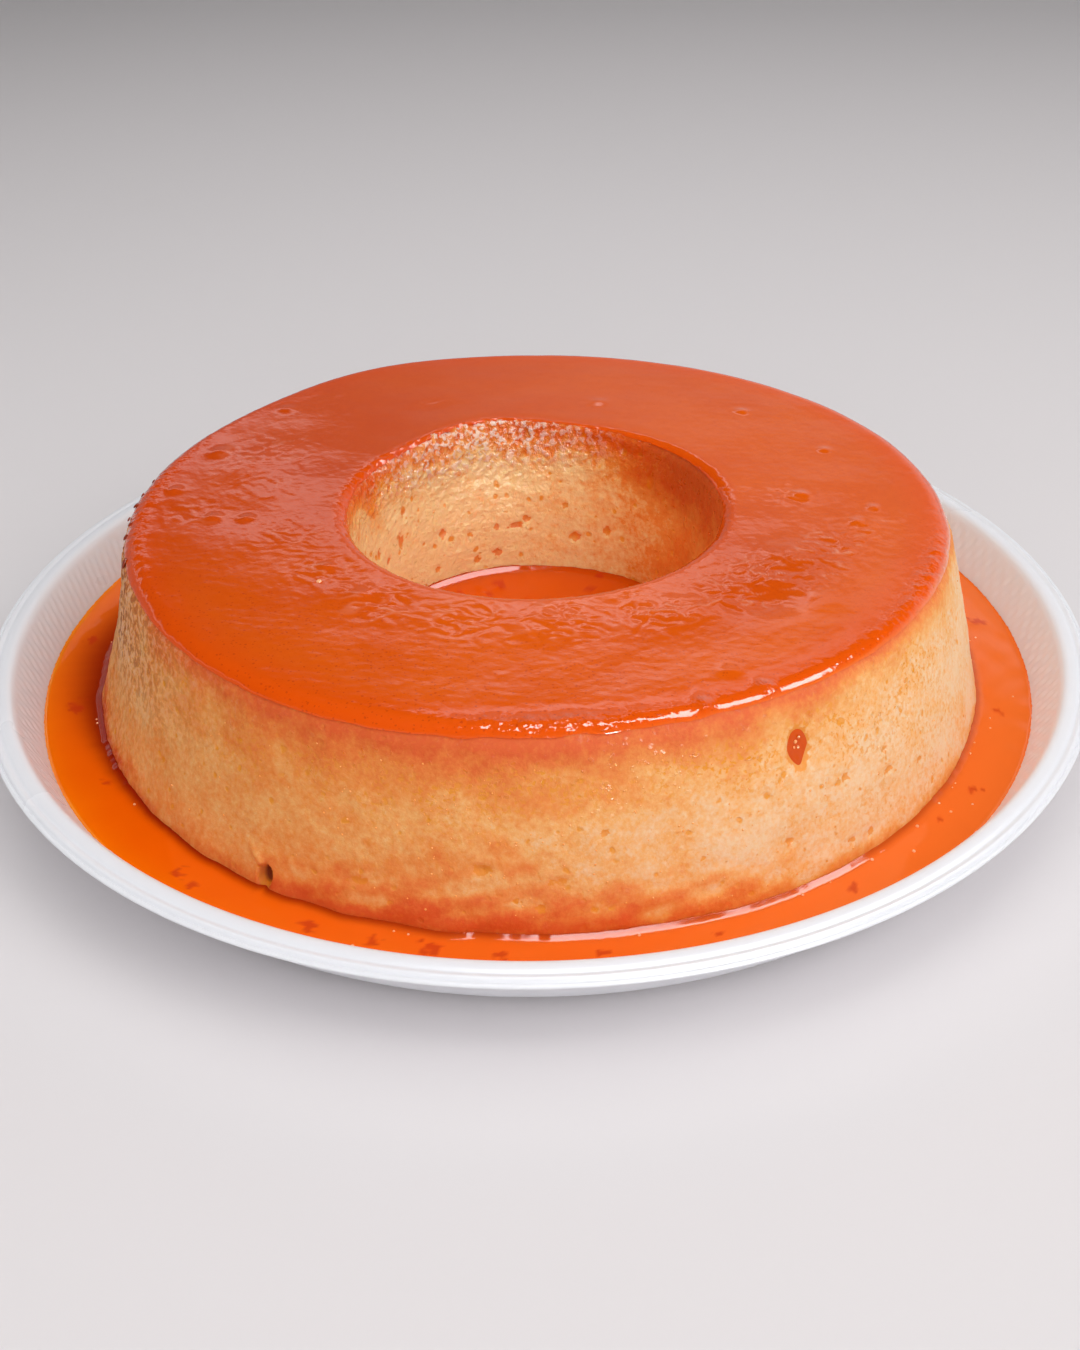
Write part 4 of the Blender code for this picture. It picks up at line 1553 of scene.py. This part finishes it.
class StageSettings(bpy.types.PropertyGroup):
    """What a user may change on the floor, the light and the camera."""

    floor: colour_setting("Floor", srgb(222, 217, 218), "Colour of the plain floor")
    key_power: power_setting("Key Light", 5.8, "Power of the soft light from the right")
    top_power: power_setting("Top Light", 6.1, "Power of the soft light from overhead")
    fill_power: power_setting("Fill Light", 4.9, "Power of the soft light from the front")
    window_power: power_setting("Window", 14.0, "Power of the low light that only glosses show")
    strip_power: power_setting("Strip Light", 16.0, "Power of the strip overhead that only glosses show")
    fill_strength: bpy.props.FloatProperty(
        name="Fill", description="Strength of the soft light from all round", default=1.9, min=0.0
    )
    lens: bpy.props.FloatProperty(
        name="Lens", description="Focal length of the camera in millimetres", default=42.667, min=10.0
    )


# Operators -----------------------------------------------------------------------------------


class BuildPlate(bpy.types.Operator):
    """Build the moulded plate"""

    bl_idname = "flan.build_plate"
    bl_label = "Plate"

    def execute(self, context):
        make_plate(context.scene.flan_plate)
        return {"FINISHED"}


class BuildCustard(bpy.types.Operator):
    """Build the ring of custard and the beads of syrup on it"""

    bl_idname = "flan.build_custard"
    bl_label = "Custard"

    def execute(self, context):
        make_custard(context.scene.flan_custard)
        make_beads(context.scene.flan_custard)
        return {"FINISHED"}


class BuildFilm(bpy.types.Operator):
    """Build the caramel film, the drop in the side's pit and the crumbs on the edge"""

    bl_idname = "flan.build_film"
    bl_label = "Caramel Film"

    def execute(self, context):
        make_film(context.scene.flan_caramel)
        make_drop(context.scene.flan_caramel)
        make_crumbs()
        return {"FINISHED"}


class BuildSauce(bpy.types.Operator):
    """Build the caramel that stands in the plate and in the hole, with its bubbles"""

    bl_idname = "flan.build_sauce"
    bl_label = "Caramel Sauce"

    def execute(self, context):
        make_moat(context.scene.flan_caramel)
        make_well(context.scene.flan_caramel)
        make_bubbles(context.scene.flan_caramel)
        return {"FINISHED"}


# Greys of the light all round, as (upward part of the direction it comes from, brightness): 0 is
# level, and goes on below it, and 1 is straight overhead
WORLD_GREYS = (
    (0.0, 0.235),
    (0.34, 0.19),
    (0.40, 0.155),
    (0.43, 0.075),
    (0.455, 0.155),
    (0.475, 0.92),
    (0.495, 1.0),
    (0.51, 0.62),
    (0.525, 0.25),
    (0.54, 0.03),
    (0.555, 0.010),
    (1.0, 0.008),
)
# Area lights, as (name, direction from the flan, distance, length and width, direction of the length)
SOFT_LIGHTS = (
    ("key", (0.64, -0.44, 0.64), 1.30, (0.8, 0.8), (1.0, 0.0, 0.0)),
    ("top", (0.1, 0.05, 1.0), 0.95, (1.3, 1.3), (1.0, 0.0, 0.0)),
    ("fill", (-0.35, -0.75, 0.75), 0.95, (1.2, 1.2), (1.0, 0.0, 0.0)),
)
GLOSS_LIGHTS = (
    ("window", (0.45, -0.85, 0.24), 0.95, (0.42, 0.28), (0.88, 0.47, 0.0)),
    ("strip", (0.33, -0.05, 0.93), 0.95, (0.9, 0.28), (0.7, 0.37, -0.23)),
)
# The camera's place, and its turns in degrees: down from level, about Z, and about its own axis
CAMERA_PLACE = (0.5 * MM, -337.3 * MM, 216.6 * MM)
CAMERA_DOWN = 32.59
CAMERA_ASIDE = -0.02
CAMERA_ROLL = -0.9


def add_floor(colour):
    """A wide plain floor at the plate's foot."""
    reach, corners = 4.0, 96
    angle = np.linspace(0, math.tau, corners, endpoint=False)
    rim = np.column_stack((reach * np.cos(angle), reach * np.sin(angle), np.full(corners, -0.02 * MM)))
    mesh = bpy.data.meshes.new("floor")
    mesh.from_pydata(rim, [], [list(range(corners))])
    material, tree, shader, place = new_material("plain_floor")
    cloud = between(tree, noise(tree, place, 3.0), 0.0, 0.05, 0.3, 0.7)
    finish(tree, shader, Base_Color=mixed(tree, cloud, colour, (0.62, 0.6, 0.6)), Roughness=0.9)
    mesh.materials.append(material)
    floor = bpy.data.objects.new("floor", mesh)
    bpy.context.scene.collection.objects.link(floor)


def add_world(strength):
    """Light from all round: dim from below, brightest from about 29 degrees up, nearly dark above.

    Towards the left its bright band droops, by the square of how far left it lies. It grows
    stronger towards the right, where it is cut back above about 26 degrees.
    """
    world = bpy.data.worlds.new("studio")
    bpy.context.scene.world = world
    world.use_nodes = True
    tree = world.node_tree
    parts = add(tree, "SeparateXYZ", [("Vector", add(tree, "TexCoord").outputs["Generated"])])
    across, upward = parts.outputs["X"], parts.outputs["Z"]
    leftward = between(tree, across, 0.25, 0.0, -0.25, 0.0)
    rise = plus(tree, upward, times(tree, times(tree, leftward, leftward), 2.2))
    sky = colour_steps(tree, rise, [(place, (grey, 0.99 * grey, grey)) for place, grey in WORLD_GREYS])
    power = between(tree, across, 0.74 * strength, 1.7 * strength, -0.12, 0.18)
    right = between(tree, across, 0.0, 0.74, 0.02, 0.18)
    cut = times(tree, right, between(tree, upward, 0.0, 1.0, 0.43, 0.46))
    power = times(tree, power, combine(tree, "SUBTRACT", 1.0, cut))
    finish(tree, tree.nodes["Background"], Color=sky, Strength=power)


def add_light(name, direction, distance, size, along, power):
    """A flat area light that shines on the flan from this direction.

    Its size gives its length, which runs in the direction along, and its width.
    """
    light = bpy.data.lights.new(name, "AREA")
    light.shape = "RECTANGLE"
    light.size, light.size_y = size
    light.energy = power
    lamp = bpy.data.objects.new(name, light)
    away = Vector(direction).normalized()
    aim_height = 30 * MM
    lamp.location = away * distance + Vector((0, 0, aim_height))
    across = away.cross(Vector(along)).normalized()
    turn = Matrix((across.cross(away), across, away)).transposed()
    lamp.rotation_euler = turn.to_euler()
    bpy.context.scene.collection.objects.link(lamp)
    return lamp


def add_camera(lens):
    """The camera: 0.34 m in front of the plate's middle and 0.22 m up, looking down by 33 degrees."""
    camera = bpy.data.cameras.new("camera")
    camera.lens = lens
    camera.sensor_fit = "AUTO"
    camera.clip_start = 0.01
    viewer = bpy.data.objects.new("camera", camera)
    aside = Matrix.Rotation(math.radians(CAMERA_ASIDE), 4, "Z")
    tilt = Matrix.Rotation(math.radians(90 - CAMERA_DOWN), 4, "X")
    roll = Matrix.Rotation(math.radians(CAMERA_ROLL), 4, "Z")
    viewer.matrix_world = Matrix.Translation(CAMERA_PLACE) @ (aside @ tilt) @ roll
    bpy.context.scene.collection.objects.link(viewer)
    bpy.context.scene.camera = viewer


class BuildStage(bpy.types.Operator):
    """Build the floor, the soft light and the camera"""

    bl_idname = "flan.build_stage"
    bl_label = "Stage"

    def execute(self, context):
        stage = context.scene.flan_stage
        add_floor(stage.floor)
        add_world(stage.fill_strength)
        for light in SOFT_LIGHTS:
            lamp = add_light(*light, getattr(stage, light[0] + "_power"))
            lamp.visible_glossy = False
        for light in GLOSS_LIGHTS:
            lamp = add_light(*light, getattr(stage, light[0] + "_power"))
            lamp.visible_diffuse = False
        add_camera(stage.lens)
        context.scene.view_settings.view_transform = "Standard"
        return {"FINISHED"}


class FlanPanel(bpy.types.Panel):
    """The flan's pieces and their settings, in the sidebar"""

    bl_idname = "VIEW3D_PT_flan"
    bl_label = "Leche Flan"
    bl_space_type = "VIEW_3D"
    bl_region_type = "UI"
    bl_category = "Flan"

    def draw(self, context):
        layout = self.layout
        for operator in OPERATORS:
            layout.operator(operator.bl_idname)
        for name, group in SETTINGS.items():
            box = layout.box()
            box.label(text=group.__doc__)
            for field in group.__annotations__:
                box.prop(getattr(context.scene, name), field)


SETTINGS = {
    "flan_plate": PlateSettings,
    "flan_custard": CustardSettings,
    "flan_caramel": CaramelSettings,
    "flan_stage": StageSettings,
}
OPERATORS = (BuildPlate, BuildCustard, BuildFilm, BuildSauce, BuildStage)


def register():
    """Adds the settings, operators and panel to Blender."""
    for name, group in SETTINGS.items():
        bpy.utils.register_class(group)
        setattr(bpy.types.Scene, name, bpy.props.PointerProperty(type=group))
    for operator in OPERATORS:
        bpy.utils.register_class(operator)
    bpy.utils.register_class(FlanPanel)


def unregister():
    """Takes them out again."""
    bpy.utils.unregister_class(FlanPanel)
    for operator in reversed(OPERATORS):
        bpy.utils.unregister_class(operator)
    for name, group in SETTINGS.items():
        delattr(bpy.types.Scene, name)
        bpy.utils.unregister_class(group)


def main():
    """Builds every piece."""
    register()
    bpy.ops.flan.build_plate()
    bpy.ops.flan.build_custard()
    bpy.ops.flan.build_film()
    bpy.ops.flan.build_sauce()
    bpy.ops.flan.build_stage()


if __name__ == "__main__":
    main()
